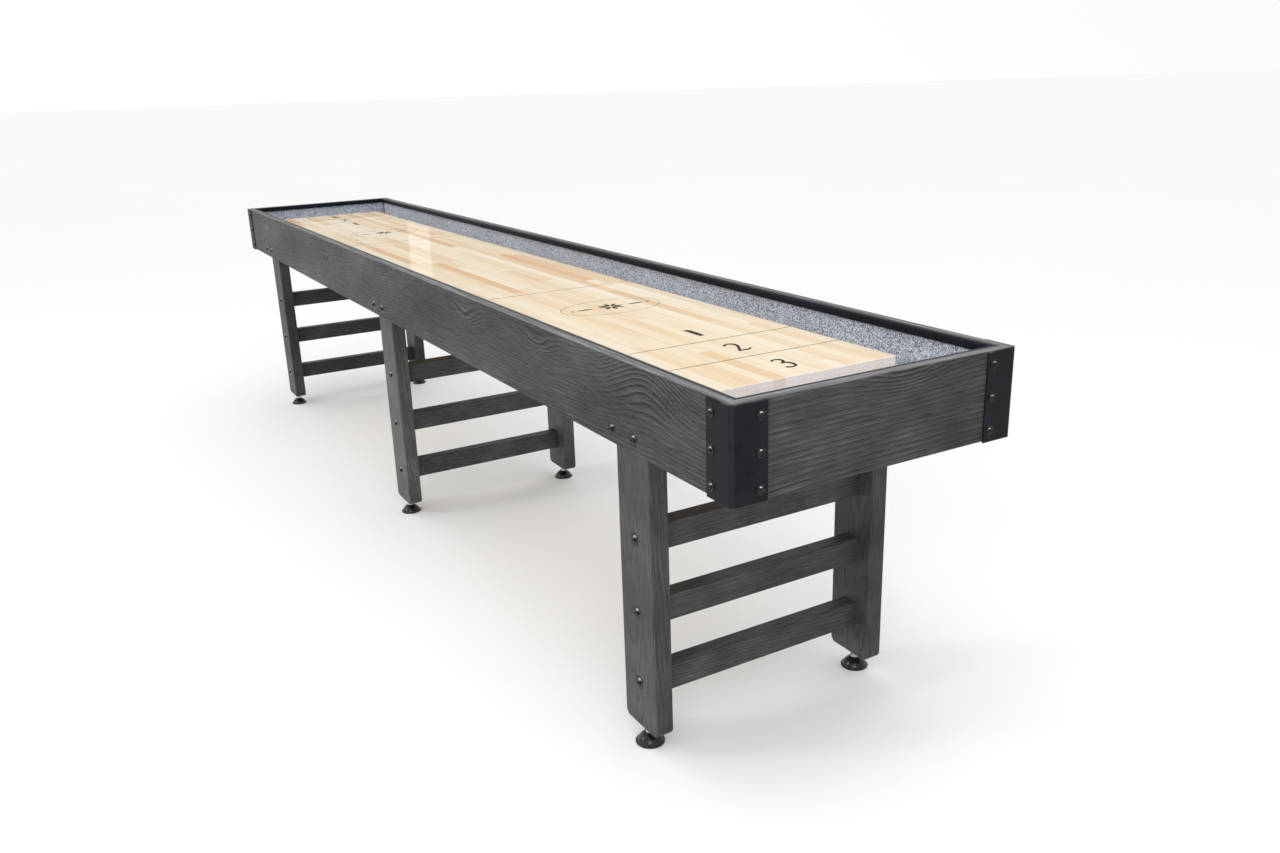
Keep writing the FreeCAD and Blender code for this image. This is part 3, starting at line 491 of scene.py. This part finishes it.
def rubber(name):
    """Extruded black rubber with a faint bloom, dust in long smears and small scuffs, its blue tint a painted
    reflection.
    """
    g = Graph(name)
    bloom = g.noise(g.stretch(g.place, (5.0, 30.0, 30.0)), 4.0, 0.6)
    scuffs = g.noise(g.stretch(g.place, (60.0, 240.0, 240.0), (4.0, 0.0, 0.0)), 3.0, 0.65)
    level = g.add(g.times(bloom, 0.7), g.times(scuffs, 0.3))
    # Painted reflection: the blue tint of the black stands in for a bluish sheen
    colour = g.ramp(
        level,
        [(0.3, (0.0035, 0.0048, 0.0080)), (0.55, (0.0065, 0.0088, 0.0135)), (0.8, (0.019, 0.024, 0.034))],
    )
    grit = g.noise(g.stretch(g.place, (900.0, 900.0, 900.0)), 2.0)
    return g.finish(
        Base_Color=colour,
        Roughness=g.spread(level, 0.3, 0.75, 0.34, 0.52),
        Normal=g.bump(g.add(grit, g.times(scuffs, 0.5)), 0.00015, 0.5),
        Specular_IOR_Level=0.10,
    )


def powder_coat(name, rail_top):
    """Black powder coat on steel: orange peel, a painted highlight along the bend, and rubbed grey along the
    top.
    """
    g = Graph(name)
    peel = g.noise(g.stretch(g.place, (520.0, 520.0, 520.0)), 2.0)
    cloud = g.noise(g.stretch(g.place, (22.0, 22.0, 22.0)), 4.0, 0.6)
    scratches = g.noise(g.stretch(g.place, (70.0, 70.0, 900.0)), 2.0, 0.5, 1.5)
    scratches = g.ramp(scratches, [(0.66, 0.0), (0.72, 1.0)])
    rubbed = g.times(g.spread(g.z, rail_top - 0.004, rail_top), g.spread(cloud, 0.4, 0.7))
    colour = g.ramp(cloud, [(0.3, (0.0070, 0.0075, 0.0098)), (0.7, (0.0125, 0.0132, 0.0167))])
    colour = g.mix(g.times(scratches, 0.25), colour, (0.07, 0.072, 0.08))
    colour = g.mix(g.times(rubbed, 0.7), colour, (0.16, 0.165, 0.175))
    # Painted highlight: the bend between the front and the end faces, found by its normal, is painted paler
    facing = g.split(g.node("ShaderNodeNewGeometry").outputs["Normal"])
    bend = g.math("ABSOLUTE", g.times(facing[0], facing[1]))
    bend = g.times(g.spread(bend, 0.22, 0.48), g.spread(cloud, 0.2, 0.8, 0.6, 1.0))
    colour = g.mix(bend, colour, (0.0195, 0.0205, 0.0250))
    return g.finish(
        Base_Color=colour,
        Roughness=g.spread(cloud, 0.3, 0.7, 0.36, 0.48),
        Normal=g.bump(g.add(peel, g.times(scratches, -0.6)), 0.00018, 0.6),
        Specular_IOR_Level=0.07,
    )


def black_oxide(name, seat=None):
    """Blackened steel screws: near black, with painted highlight on the upward tops of their heads, and edges
    bright partly with wear and partly with painted highlight.

    Behind the seat, a distance out from the table's middle plane, lie washers: worn grey, with a rim darkened
    by painted shadow.
    """
    g = Graph(name)
    cloud = g.noise(g.stretch(g.place, (160.0, 160.0, 160.0)), 3.0, 0.6)
    upward = g.split(g.node("ShaderNodeNewGeometry").outputs["Normal"])[2]
    # Bright edges: partly wear, partly painted highlight
    edge = g.times(g.near_edge(SCREW_EDGE if seat is None else BOLT_EDGE, 0.97, 0.80), 0.75)
    # Painted highlight: the upward parts of heads and washers are painted bright
    top = g.times(g.spread(upward, 0.50, 0.84), g.spread(cloud, 0.2, 0.6, 0.6, 0.95))
    dark = g.ramp(
        cloud,
        [(0.3, (0.010, 0.0105, 0.012)), (0.55, (0.019, 0.020, 0.023)), (0.75, (0.045, 0.046, 0.050))],
    )
    colour = g.mix(edge, dark, (0.42, 0.43, 0.45))
    colour = g.mix(top, colour, (0.62, 0.64, 0.67))
    if seat is not None:
        washer = g.math("LESS_THAN", g.math("ABSOLUTE", g.y), seat)
        grey = g.ramp(cloud, [(0.3, (0.11, 0.11, 0.113)), (0.7, (0.24, 0.24, 0.244))])
        # Painted shadow: a black rim on each washer stands for the shade in its counterbore
        rim_painted_shadow = g.near_edge(WASHER_EDGE, 0.996, 0.95)
        colour = g.mix(washer, colour, g.mix(rim_painted_shadow, grey, (0.006, 0.006, 0.007)))
    return g.finish(
        Base_Color=colour,
        Metallic=1.0,
        Roughness=g.spread(cloud, 0.3, 0.7, 0.14, 0.30),
        Normal=g.bump(g.noise(g.stretch(g.place, (900.0, 900.0, 900.0)), 2.0), 0.00006, 0.4),
    )


def zinc(name):
    """Bright zinc plate, slightly clouded and blue in places."""
    g = Graph(name)
    cloud = g.noise(g.stretch(g.place, (70.0, 70.0, 70.0)), 4.0, 0.6)
    colour = g.ramp(cloud, [(0.3, (0.50, 0.51, 0.53)), (0.5, (0.66, 0.66, 0.65)), (0.75, (0.74, 0.73, 0.69))])
    return g.finish(
        Base_Color=colour,
        Metallic=1.0,
        Roughness=g.spread(cloud, 0.3, 0.75, 0.24, 0.42),
        Normal=g.bump(g.noise(g.stretch(g.place, (1100.0, 1100.0, 300.0)), 2.0), 0.00006, 0.4),
    )


def enamel(name):
    """Gloss black enamel on the foot shells, dusty near the floor."""
    g = Graph(name)
    cloud = g.noise(g.stretch(g.place, (90.0, 90.0, 90.0)), 3.0, 0.6)
    dust = g.times(g.spread(g.z, 0.010, 0.0), g.spread(cloud, 0.35, 0.7))
    colour = g.ramp(cloud, [(0.3, (0.0050, 0.0058, 0.0080)), (0.7, (0.0090, 0.0102, 0.0135))])
    colour = g.mix(g.times(dust, 0.35), colour, (0.12, 0.115, 0.11))
    return g.finish(
        Base_Color=colour,
        Roughness=g.spread(cloud, 0.3, 0.7, 0.22, 0.34),
        Normal=g.bump(g.noise(g.stretch(g.place, (260.0, 260.0, 260.0)), 2.0), 0.00012, 0.35),
        Specular_IOR_Level=0.1,
        Coat_Weight=0.5,
        Coat_Roughness=0.20,
    )


def ink(name):
    """Dark brown-black screen ink under the polish, a little uneven at this scale."""
    g = Graph(name)
    wear = g.noise(g.stretch(g.place, (420.0, 420.0, 420.0)), 3.0, 0.6)
    colour = g.ramp(wear, [(0.35, (0.011, 0.009, 0.008)), (0.75, (0.032, 0.025, 0.020))])
    return g.finish(
        Base_Color=colour,
        Roughness=g.spread(wear, 0.3, 0.7, 0.36, 0.46),
        Specular_IOR_Level=0.0,
        Coat_Weight=0.20,
        Coat_Roughness=0.03,
    )


def studio_floor(name):
    """Matt white sweep."""
    g = Graph(name)
    cloud = g.noise(g.stretch(g.place, (0.5, 0.5, 0.5)), 2.0)
    colour = g.ramp(cloud, [(0.3, (0.95, 0.95, 0.95)), (0.7, (0.96, 0.96, 0.96))])
    return g.finish(Base_Color=colour, Roughness=0.85, Specular_IOR_Level=0.1)


# ---- mesh pieces -----------------------------------------------------------------------------


def new_piece(name, points, faces, material, body, smooth=True):
    """A mesh in the scene, riding on a body if one is given."""
    mesh = bpy.data.meshes.new(name)
    mesh.from_pydata([tuple(map(float, p)) for p in points], [], faces)
    mesh.materials.append(material)
    mesh.validate()
    if smooth:
        mesh.shade_smooth()
    piece = bpy.data.objects.new(name, mesh)
    bpy.context.scene.collection.objects.link(piece)
    if body:
        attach(piece, body)
    return piece


def grid_faces(rows, columns, wrap=False):
    """Quads between neighbouring points of a grid; wrap joins the last column to the first.

    They face the way from which the rows run up and the columns to the right.
    """
    faces = []
    for i in range(rows - 1):
        for j in range(columns if wrap else columns - 1):
            k = (j + 1) % columns
            faces.append((i * columns + j, i * columns + k, (i + 1) * columns + k, (i + 1) * columns + j))
    return faces


def carpet_sheet(name, corner, along, across, material, rng, node):
    """One glued-down sheet with its pile: a fine grid whose tufts stand up unevenly.

    Its rows run along and its columns across, so its faces are turned over to look up out of the pile.
    """
    length, width = along.length, across.length
    rows, columns = round(length / TUFT) + 1, round(width / TUFT) + 1
    u = np.repeat(np.linspace(0.0, 1.0, rows), columns)
    v = np.tile(np.linspace(0.0, 1.0, columns), rows)
    inside = (u > 0) & (u < 1) & (v > 0) & (v < 1)
    u = u + inside * rng.uniform(-0.3, 0.3, u.size) * TUFT / length
    v = v + inside * rng.uniform(-0.3, 0.3, v.size) * TUFT / width
    up = along.cross(across).normalized()
    rise = rng.uniform(-1.0, 1.0, u.size) * PILE / 2
    points = (
        np.array(corner)[None]
        + u[:, None] * np.array(along)[None]
        + v[:, None] * np.array(across)[None]
        + rise[:, None] * np.array(up)[None]
    )
    faces = [(a, d, c, b) for a, b, c, d in grid_faces(rows, columns)]
    piece = new_piece(name, points, faces, material, "cabinet")
    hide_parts(node)


def carpets(material):
    """Four floor sheets and four wall sheets, glued into the gutters."""
    rng = np.random.default_rng(12)
    low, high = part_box("floor_carpets")
    wall_low, wall_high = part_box("wall_carpets")
    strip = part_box("front_gutter_floor")
    joint_x, inner_y = strip[1].x, -strip[1].y
    z = (low.z + high.z) / 2 + PILE / 4
    for side_name, side in SIDES.items():
        start = Vector((-joint_x * side, side * inner_y, z))
        along = Vector((2 * joint_x * side, 0, 0))
        across = Vector((0, side * (high.y - inner_y), 0))
        name = f"{side_name}_gutter_carpet"
        carpet_sheet(name, start, along, across, material, rng, "floor_carpets")
    for end_name, end in ENDS.items():
        start = Vector((end * joint_x, -end * high.y, z))
        along = Vector((end * (high.x - joint_x), 0, 0))
        across = Vector((0, end * 2 * high.y, 0))
        name = f"{end_name}_gutter_carpet"
        carpet_sheet(name, start, along, across, material, rng, "floor_carpets")
    thick = high.z - low.z
    inset = thick / 2 - PILE / 4
    height = Vector((0, 0, wall_high.z - wall_low.z))
    for side_name, side in SIDES.items():
        y = side * (wall_high.y - inset)
        start = Vector((side * (wall_high.x - thick), y, wall_high.z))
        along = Vector((-2 * side * (wall_high.x - thick), 0, 0))
        carpet_sheet(f"{side_name}_wall_carpet", start, along, -height, material, rng, "wall_carpets")
    for end_name, end in ENDS.items():
        x = end * (wall_high.x - inset)
        start = Vector((x, -end * (wall_high.y - thick), wall_high.z))
        along = Vector((0, 2 * end * (wall_high.y - thick), 0))
        carpet_sheet(f"{end_name}_wall_carpet", start, along, -height, material, rng, "wall_carpets")


def lathe_rings(rings, segments):
    """Points and faces of rings (radius or radii, height), closed at both ends."""
    angles = np.linspace(0.0, 2 * math.pi, segments, endpoint=False)
    points = []
    for radii, z in rings:
        radii = np.broadcast_to(radii, (segments,))
        points += [(r * math.cos(a), r * math.sin(a), z) for r, a in zip(radii, angles)]
    faces = grid_faces(len(rings), segments, wrap=True)
    faces.append(tuple(reversed(range(segments))))
    faces.append(tuple(range((len(rings) - 1) * segments, len(rings) * segments)))
    return points, faces


def thread_rings(radius, start, end, segments, hand=1.0):
    """Rings of a screw thread from start to end, its crests run out at both ends."""
    angles = np.linspace(0.0, 1.0, segments, endpoint=False)
    heights = np.arange(start, end, THREAD_PITCH / 6)
    rings = []
    for z in heights:
        wave = np.abs((z / THREAD_PITCH - hand * angles) % 1.0 - 0.5) * 2.0
        wave = np.clip(wave * 1.25 - 0.125, 0.0, 1.0)
        fade = min(1.0, (z - start) / THREAD_PITCH, (end - z) / THREAD_PITCH)
        rings.append((radius - THREAD_DEPTH * (1.0 - wave * fade), z))
    return rings


def hexagon_rings(across, bottom, height, segments):
    """Rings of a hexagonal nut with chamfered corners."""
    angles = np.linspace(0.0, 2 * math.pi, segments, endpoint=False)
    flat = across / 2 / np.cos((angles + math.pi / 6) % (math.pi / 3) - math.pi / 6)
    eased = np.minimum(flat, across / 2 * 1.03)
    chamfer = height * 0.09
    top = bottom + height
    return [(eased, bottom), (flat, bottom + chamfer), (flat, top - chamfer), (eased, top)]


def threaded_piece(name, node, rings, segments, place, material):
    """A turned piece in a CAD node's stead; place puts a point of its rings into the table's frame."""
    points, faces = lathe_rings(rings, segments)
    points = [place(x, y, z) for x, y, z in points]
    piece = new_piece(name, points, faces, material, node)
    piece.data.set_sharp_from_angle(angle=SHARP_ANGLE)
    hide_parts(node)


def leveler_stud(foot, material):
    """The threaded stud of a levelling foot, with its spanner hexagon."""
    node = f"{foot}_leveler_stud"
    low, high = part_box(node)
    centre = (low + high) / 2
    across = min(high.x - low.x, high.y - low.y)
    hex_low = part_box(f"{foot}_leveler_pad")[1].z + STUD_HEX_GAP
    hex_high = hex_low + STUD_HEX_HEIGHT
    rings = [(ROD_RADIUS - STUD_CHAMFER, low.z), (ROD_RADIUS, low.z + STUD_CHAMFER), (ROD_RADIUS, hex_low)]
    rings += hexagon_rings(across, hex_low, STUD_HEX_HEIGHT, STUD_SEGMENTS)
    rings += [(ROD_RADIUS, hex_high)]
    rings += thread_rings(ROD_RADIUS, hex_high + PLAIN_NECK, high.z - PLAIN_TIP, STUD_SEGMENTS)
    rings += [(ROD_RADIUS - STUD_TIP, high.z)]

    def place(x, y, z):
        return x + centre.x, y + centre.y, z

    threaded_piece(f"{foot}_threaded_stud", node, rings, STUD_SEGMENTS, place, material)


def adjuster_rod(number, material):
    """A climate adjuster's rod: threads of opposite hand either side of its hexagon."""
    node = f"adjuster_rod_{number}"
    low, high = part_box(node)
    centre = (low + high) / 2
    half = (high.y - low.y) / 2
    across = min(high.x - low.x, high.z - low.z)
    thread_start, thread_end = ROD_HEX_HALF + PLAIN_NECK, half - PLAIN_TIP
    rings = [(ROD_RADIUS - ROD_TIP, -half)]
    rings += thread_rings(ROD_RADIUS, -thread_end, -thread_start, ROD_SEGMENTS, hand=-1.0)
    rings += [(ROD_RADIUS, -ROD_HEX_HALF)]
    rings += hexagon_rings(across, -ROD_HEX_HALF, 2 * ROD_HEX_HALF, ROD_SEGMENTS)
    rings += [(ROD_RADIUS, ROD_HEX_HALF)]
    rings += thread_rings(ROD_RADIUS, thread_start, thread_end, ROD_SEGMENTS)
    rings += [(ROD_RADIUS - ROD_TIP, half)]

    def place(x, y, z):
        return centre.x + y, z, centre.z + x

    threaded_piece(f"{node}_threaded", node, rings, ROD_SEGMENTS, place, material)


# ---- ink on the playfield --------------------------------------------------------------------


def smooth_line(points, steps=12):
    """Points along a Catmull-Rom curve that passes through the ones given."""
    p = np.array(points, float)
    p = np.vstack([2 * p[0] - p[1], p, 2 * p[-1] - p[-2]])
    line = []
    for a, b, c, d in zip(p, p[1:], p[2:], p[3:]):
        for t in np.linspace(0.0, 1.0, steps, endpoint=False):
            bend = (2 * a - 5 * b + 4 * c - d) * t**2
            twist = (3 * b - a - 3 * c + d) * t**3
            line.append(0.5 * (2 * b + (c - a) * t + bend + twist))
    line.append(p[-2])
    return np.array(line)


def pen_stroke(points, nib):
    """The outline of a broad-nib pen's stroke, as left and right edge points."""
    line = smooth_line(points) if len(points) > 2 else np.linspace(points[0], points[1], 8)
    run = np.gradient(line, axis=0)
    run /= np.linalg.norm(run, axis=1)[:, None]
    normal = np.stack([-run[:, 1], run[:, 0]], axis=1)
    nib_way = np.array([math.cos(NIB_SLANT), math.sin(NIB_SLANT)])
    half = np.hypot(nib / 2 * (normal @ nib_way), DIGIT_HAIRLINE / 2)
    s = np.linspace(-1.0, 1.0, len(line))
    half = half * np.clip((1.0 - s**2) * 14.0, 0.12, 1.0) ** 0.5
    return line + normal * half[:, None], line - normal * half[:, None]


# Strokes of each digit: points across and up, in digit heights, and the nib's width
GLYPHS = {
    "one": [
        ([(0.07, 0.96), (0.07, 0.04)], 0.25),
        ([(-0.10, 0.90), (0.10, 0.97)], 0.04),
        ([(-0.04, 0.03), (0.18, 0.04)], 0.04),
    ],
    "two": [
        (
            [
                (-0.20, 0.80), (-0.12, 0.94), (0.04, 0.98), (0.17, 0.88),
                (0.17, 0.68), (0.06, 0.42), (-0.16, 0.07),
            ],
            0.13,
        ),
        ([(-0.18, 0.06), (0.02, 0.09), (0.18, 0.06), (0.35, 0.19)], 0.13),
    ],
    "three": [
        ([(-0.19, 0.85), (-0.07, 0.96), (0.09, 0.94), (0.15, 0.79), (0.06, 0.61), (-0.09, 0.54)], 0.13),
        ([(-0.09, 0.54), (0.09, 0.53), (0.18, 0.34), (0.13, 0.12), (-0.03, 0.03), (-0.24, 0.10)], 0.13),
    ],
}

# Badge: petals of its rosette, then start, length and width of what stands on each line out from its middle.
# One unit is half the oval's width.
PETALS = 8
PETAL = (0.035, 0.235, 0.080)
BAR = (0.36, 0.36, 0.075)
LOZENGE = (0.76, 0.07, 0.075)


def spoke(start, length, width, lean, steps=10):
    """A pointed leaf as a strip, on a line out from the badge's middle that leans by so many degrees."""
    way = np.array([math.cos(math.radians(lean)), math.sin(math.radians(lean))])
    side = np.array([-way[1], way[0]])
    t = np.linspace(0.0, 1.0, steps)[:, None]
    middle = way * (start + t * length)
    half = side * np.sin(t * math.pi) ** 0.8 * width / 2
    return middle + half, middle - half


def ink_piece(name, strips, centre, end, z, material):
    """Flat ink from the left and right edges of its strips, upright for the player at that end."""
    points, faces = [], []
    for left, right in strips:
        start = len(points)
        for a, b in zip(left, right):
            for across, up in (a, b):
                points.append((centre[0] - end * up, centre[1] + end * across, z))
        faces += [(i, i + 1, i + 3, i + 2) for i in range(start, start + 2 * (len(left) - 1), 2)]
    new_piece(name, points, faces, material, "cabinet", smooth=False)


def ring_strip(half_x, half_y, line, steps=120):
    """An ellipse as one closed strip, which runs anticlockwise."""
    angles = np.linspace(0.0, 2 * math.pi, steps + 1)
    shape = np.stack([np.cos(angles), np.sin(angles)], axis=1)
    return shape * (half_x - line / 2, half_y - line / 2), shape * (half_x + line / 2, half_y + line / 2)


def playfield_ink(material, slab_low, slab_high):
    """Foul lines, score digits and an oval badge with a plain rosette, at both ends."""
    z = slab_high.z + INK_LIFT
    reach = slab_high.y - LINE_MARGIN
    for end_name, end in ENDS.items():
        for number, x in enumerate(LINE_XS, start=1):
            edges = [np.array([(-reach, up), (reach, up)]) for up in (LINE_WIDTH / 2, -LINE_WIDTH / 2)]
            ink_piece(f"{end_name}_line_{number}", [edges], (end * x, 0.0), end, z, material)
        for digit, x in DIGIT_XS.items():
            strips = []
            for points, nib in GLYPHS[digit]:
                placed = [(a * DIGIT_HEIGHT, (b - 0.5) * DIGIT_HEIGHT) for a, b in points]
                strips.append(pen_stroke(placed, nib * DIGIT_HEIGHT))
            ink_piece(f"{end_name}_digit_{digit}", strips, (end * x, 0.0), end, z, material)
        half_width, half_height = BADGE_HALF
        strips = [ring_strip(half_width, half_height, BADGE_RING)]
        spokes = [(PETAL, 360.0 * petal / PETALS) for petal in range(PETALS)]
        spokes += [(shape, lean) for shape in (BAR, LOZENGE) for lean in (0.0, 180.0)]
        strips += [spoke(*(size * half_width for size in shape), lean) for shape, lean in spokes]
        ink_piece(f"{end_name}_badge", strips, (end * BADGE_X, 0.0), end, z, material)


# ---- dressing the CAD nodes ------------------------------------------------------------------


def dress(node, material):
    """Gives a CAD node its material."""
    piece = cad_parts[node]
    if not piece.material_slots:
        piece.data.materials.append(material)
    for slot in piece.material_slots:
        slot.material = material


def dress_cabinet():
    """Boards, each cut from its own part of the log, and their brackets and bumper strips."""
    rail_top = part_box("front_right_board")[1].z
    outer_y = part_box("back_right_board")[1].y
    outer_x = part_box("right_end_board")[1].x
    middle_z = sum(corner.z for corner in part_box("front_right_board")) / 2
    knot, eye = (0.13, 0.055, -0.052), (0.10, 0.040, 0.030)
    front, back = -outer_y, outer_y
    # The fades below are painted shade: the front right board darker towards the table's middle, the front
    # left towards its far end
    boards = {
        "front_right_board": dict(
            heart=(0.6, middle_z - 0.17, front + 0.10), seed=1.7, tone=0.97, tilt=0.05, figure=0.58,
            knots=[
                (1.56, rail_top - 0.004, 0.14, 0.085, -0.056),
                (1.13, rail_top - 0.045, 0.10, 0.030, 0.026),
                (0.72, rail_top - 0.055, 0.10, 0.035, 0.030),
                (0.30, rail_top - 0.035, 0.07, 0.024, -0.020),
            ],
            fade=(0.0, 1.1, 0.83, 1.0),
        ),
        "front_left_board": dict(
            heart=(-0.7, middle_z - 0.14, front + 0.10), seed=6.2, tone=1.14, tilt=0.05, figure=0.45,
            knots=[(-0.55, middle_z, *eye), (-1.5, rail_top, *knot)],
            fade=(-1.7, -0.3, 0.90, 1.0),
        ),
        "back_right_board": dict(
            heart=(0.8, middle_z + 0.14, back - 0.10), seed=9.9, tone=1.00, tilt=-0.06, figure=0.7,
            knots=[(0.4, middle_z, *eye), (1.6, middle_z, *eye)],
        ),
        "back_left_board": dict(
            heart=(-1.1, middle_z - 0.15, back - 0.12), seed=4.1, tone=1.03, tilt=-0.05, figure=0.7,
            knots=[(-1.5, rail_top, *knot)],
        ),
    }
    common = dict(spacing=0.0072, rail_top=rail_top, gloss=0.07, top_wear_and_painted_light=1.02)
    for node, grain in boards.items():
        dress(node, charcoal(f"charcoal_{node}", "X", **common, **grain))
    common = dict(spacing=0.0098, figure=0.68, wobble=0.0032, rail_top=rail_top, top_wear_and_painted_light=1.22)
    for end_name, end in ENDS.items():
        # The fade paints shade on each end board, darker towards the back
        made = charcoal(
            f"charcoal_{end_name}_end", "Y",
            heart=(-0.35, middle_z - 0.17, end * (outer_x - 0.08)), seed=2.6 + end, tone=0.93,
            tilt=-0.10 * end, knots=[(0.05 * end, rail_top, *eye)], fade=(-0.25, 0.25, 1.0, 0.74), **common,
        )
        dress(f"{end_name}_end_board", made)
    black = powder_coat("black_powder_coat", rail_top)
    for side in SIDES:
        for end in ENDS:
            dress(f"{side}_{end}_bracket", black)
    strip = rubber("bumper_rubber")
    for place in ("front", "back", "left", "right"):
        dress(f"{place}_bumper", strip)


def dress_legs():
    """Posts and rungs, of a tone of their own in each frame, and the top rails."""
    post_tones, rung_tones = (0.82, 1.50, 1.00), (0.64, 1.0, 0.90)
    for index, leg in enumerate(LEG_FRAMES):
        for side_name, side in SIDES.items():
            node = f"{leg}_{side_name}_post"
            low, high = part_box(node)
            made = charcoal(
                f"charcoal_{node}", "Z",
                heart=(0.35, (low.x + high.x) / 2 + 0.022 * side, (low.y + high.y) / 2 + 0.045),
                seed=11.3 + 2.9 * index + side, tone=post_tones[index],
                tilt=0.07, spacing=0.0056, figure=0.30, corners=(low, high),
            )
            dress(node, made)
        low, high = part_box(f"{leg}_rungs")
        made = charcoal(
            f"charcoal_{leg}_rungs", "Y", heart=(0.1, low.z - 0.02, (low.x + high.x) / 2 - 0.03),
            seed=21.7 + index, tone=rung_tones[index], tilt=0.09, spacing=0.0058, figure=0.45,
        )
        dress(f"{leg}_rungs", made)
    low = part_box("leg_top_rails")[0]
    made = charcoal(
        "charcoal_top_rails", "Y", heart=(0.1, low.z - 0.03, low.x - 0.4),
        seed=31.4, tone=0.72, tilt=0.08, spacing=0.0058, figure=0.45,
    )
    dress("leg_top_rails", made)


def dress_hidden_parts():
    """Bearers, runners and floors, which have no stain."""
    cross = raw_wood("raw_wood_cross", "Y", (0.0, 0.60, 0.0), 5.5)
    runners = raw_wood("raw_wood_runners", "X", (0.0, 0.62, 0.0), 8.8)
    dress("cross_bearers", cross)
    dress("playfield_runners", runners)
    ply = plywood("gutter_plywood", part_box("front_gutter_floor")[1].z)
    for node in ("front_gutter_floor", "back_gutter_floor", "end_gutter_floors"):
        dress(node, ply)


def dress_metal():
    """Black screws and feet where they show, and zinc plate on what is hidden or turned with a spanner."""
    bright = zinc("zinc_plate")
    dress("bracket_screws", black_oxide("black_oxide_screws"))
    for node in ("apron_bolts", "leg_bolts"):
        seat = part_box(node)[1].y - WASHER_DEPTH
        dress(node, black_oxide(f"black_oxide_{node}", seat))
    for node in (
        "apron_nuts", "barrel_nuts", "tee_nuts", "playfield_screws",
        "splice_plates", "splice_screws", "adjuster_angles", "adjuster_screws",
    ):
        dress(node, bright)
    shell = enamel("foot_enamel")
    for leg in LEG_FRAMES:
        for side in SIDES:
            dress(f"{leg}_{side}_leveler_pad", shell)
            leveler_stud(f"{leg}_{side}", bright)
    for number in range(1, 5):
        adjuster_rod(number, bright)


# ---- studio ----------------------------------------------------------------------------------


def make_camera():
    """A camera that looks at its aim, rolled about its line of sight."""
    data = bpy.data.cameras.new("camera")
    data.sensor_width = 36.0
    data.lens = CAMERA_LENS
    data.clip_start, data.clip_end = CAMERA_CLIP
    camera = bpy.data.objects.new("camera", data)
    bpy.context.scene.collection.objects.link(camera)
    forward = (CAMERA_AIM - CAMERA_PLACE).normalized()
    level = forward.cross(Vector((0, 0, 1))).normalized()
    upright = level.cross(forward)
    right = level * math.cos(CAMERA_ROLL) + upright * math.sin(CAMERA_ROLL)
    up = right.cross(forward)
    turn = Matrix((right, up, -forward)).transposed()
    camera.matrix_world = Matrix.Translation(CAMERA_PLACE) @ turn.to_4x4()
    bpy.context.scene.camera = camera


def area_light(name, place, aim, size, watts):
    """A soft box."""
    data = bpy.data.lights.new(name, "AREA")
    data.shape = "RECTANGLE"
    data.size, data.size_y = size
    data.energy = watts
    light = bpy.data.objects.new(name, data)
    bpy.context.scene.collection.objects.link(light)
    light.location = place
    light.rotation_mode = "QUATERNION"
    light.rotation_quaternion = (Vector(aim) - Vector(place)).to_track_quat("-Z", "Y")


def make_studio():
    """A white room: a sky that is brighter towards its window, four lights and the floor."""
    scene = bpy.context.scene
    scene.view_settings.view_transform = "Standard"
    scene.view_settings.look = "None"
    world = bpy.data.worlds.new("studio")
    world.use_nodes = True
    tree = world.node_tree
    tree.nodes.clear()
    way = tree.nodes.new("ShaderNodeTexCoord")
    facing = tree.nodes.new("ShaderNodeVectorMath")
    facing.operation = "DOT_PRODUCT"
    facing.inputs[1].default_value = WINDOW_WAY
    level = tree.nodes.new("ShaderNodeMapRange")
    for index, value in enumerate((-1.0, 1.0, SKY_DIM, SKY_BRIGHT), start=1):
        level.inputs[index].default_value = value
    height = tree.nodes.new("ShaderNodeSeparateXYZ")
    haze = tree.nodes.new("ShaderNodeMapRange")
    for index, value in enumerate((0.0, HAZE_HEIGHT, HAZE, 1.0), start=1):
        haze.inputs[index].default_value = value
    both = tree.nodes.new("ShaderNodeMath")
    both.operation = "MULTIPLY"
    sky = tree.nodes.new("ShaderNodeBackground")
    output = tree.nodes.new("ShaderNodeOutputWorld")
    tree.links.new(way.outputs["Generated"], facing.inputs[0])
    tree.links.new(facing.outputs["Value"], level.inputs[0])
    tree.links.new(way.outputs["Generated"], height.inputs[0])
    tree.links.new(height.outputs["Z"], haze.inputs[0])
    tree.links.new(level.outputs[0], both.inputs[0])
    tree.links.new(haze.outputs[0], both.inputs[1])
    tree.links.new(both.outputs[0], sky.inputs["Strength"])
    tree.links.new(sky.outputs[0], output.inputs[0])
    scene.world = world
    for name, light in LIGHTS.items():
        area_light(name, *light)
    corners = [(x * FLOOR_HALF, y * FLOOR_HALF, 0.0) for x, y in ((-1, -1), (1, -1), (1, 1), (-1, 1))]
    floor = new_piece("studio_floor", corners, [(0, 1, 2, 3)], studio_floor("studio_floor"), None)


make_camera()
make_studio()
dress_cabinet()
dress_legs()
dress_hidden_parts()
dress_metal()
slab_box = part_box("playfield")
dress("playfield", butcher_block("butcher_block", *slab_box))
playfield_ink(ink("score_ink"), *slab_box)
carpets(carpet("gutter_carpet_pile"))
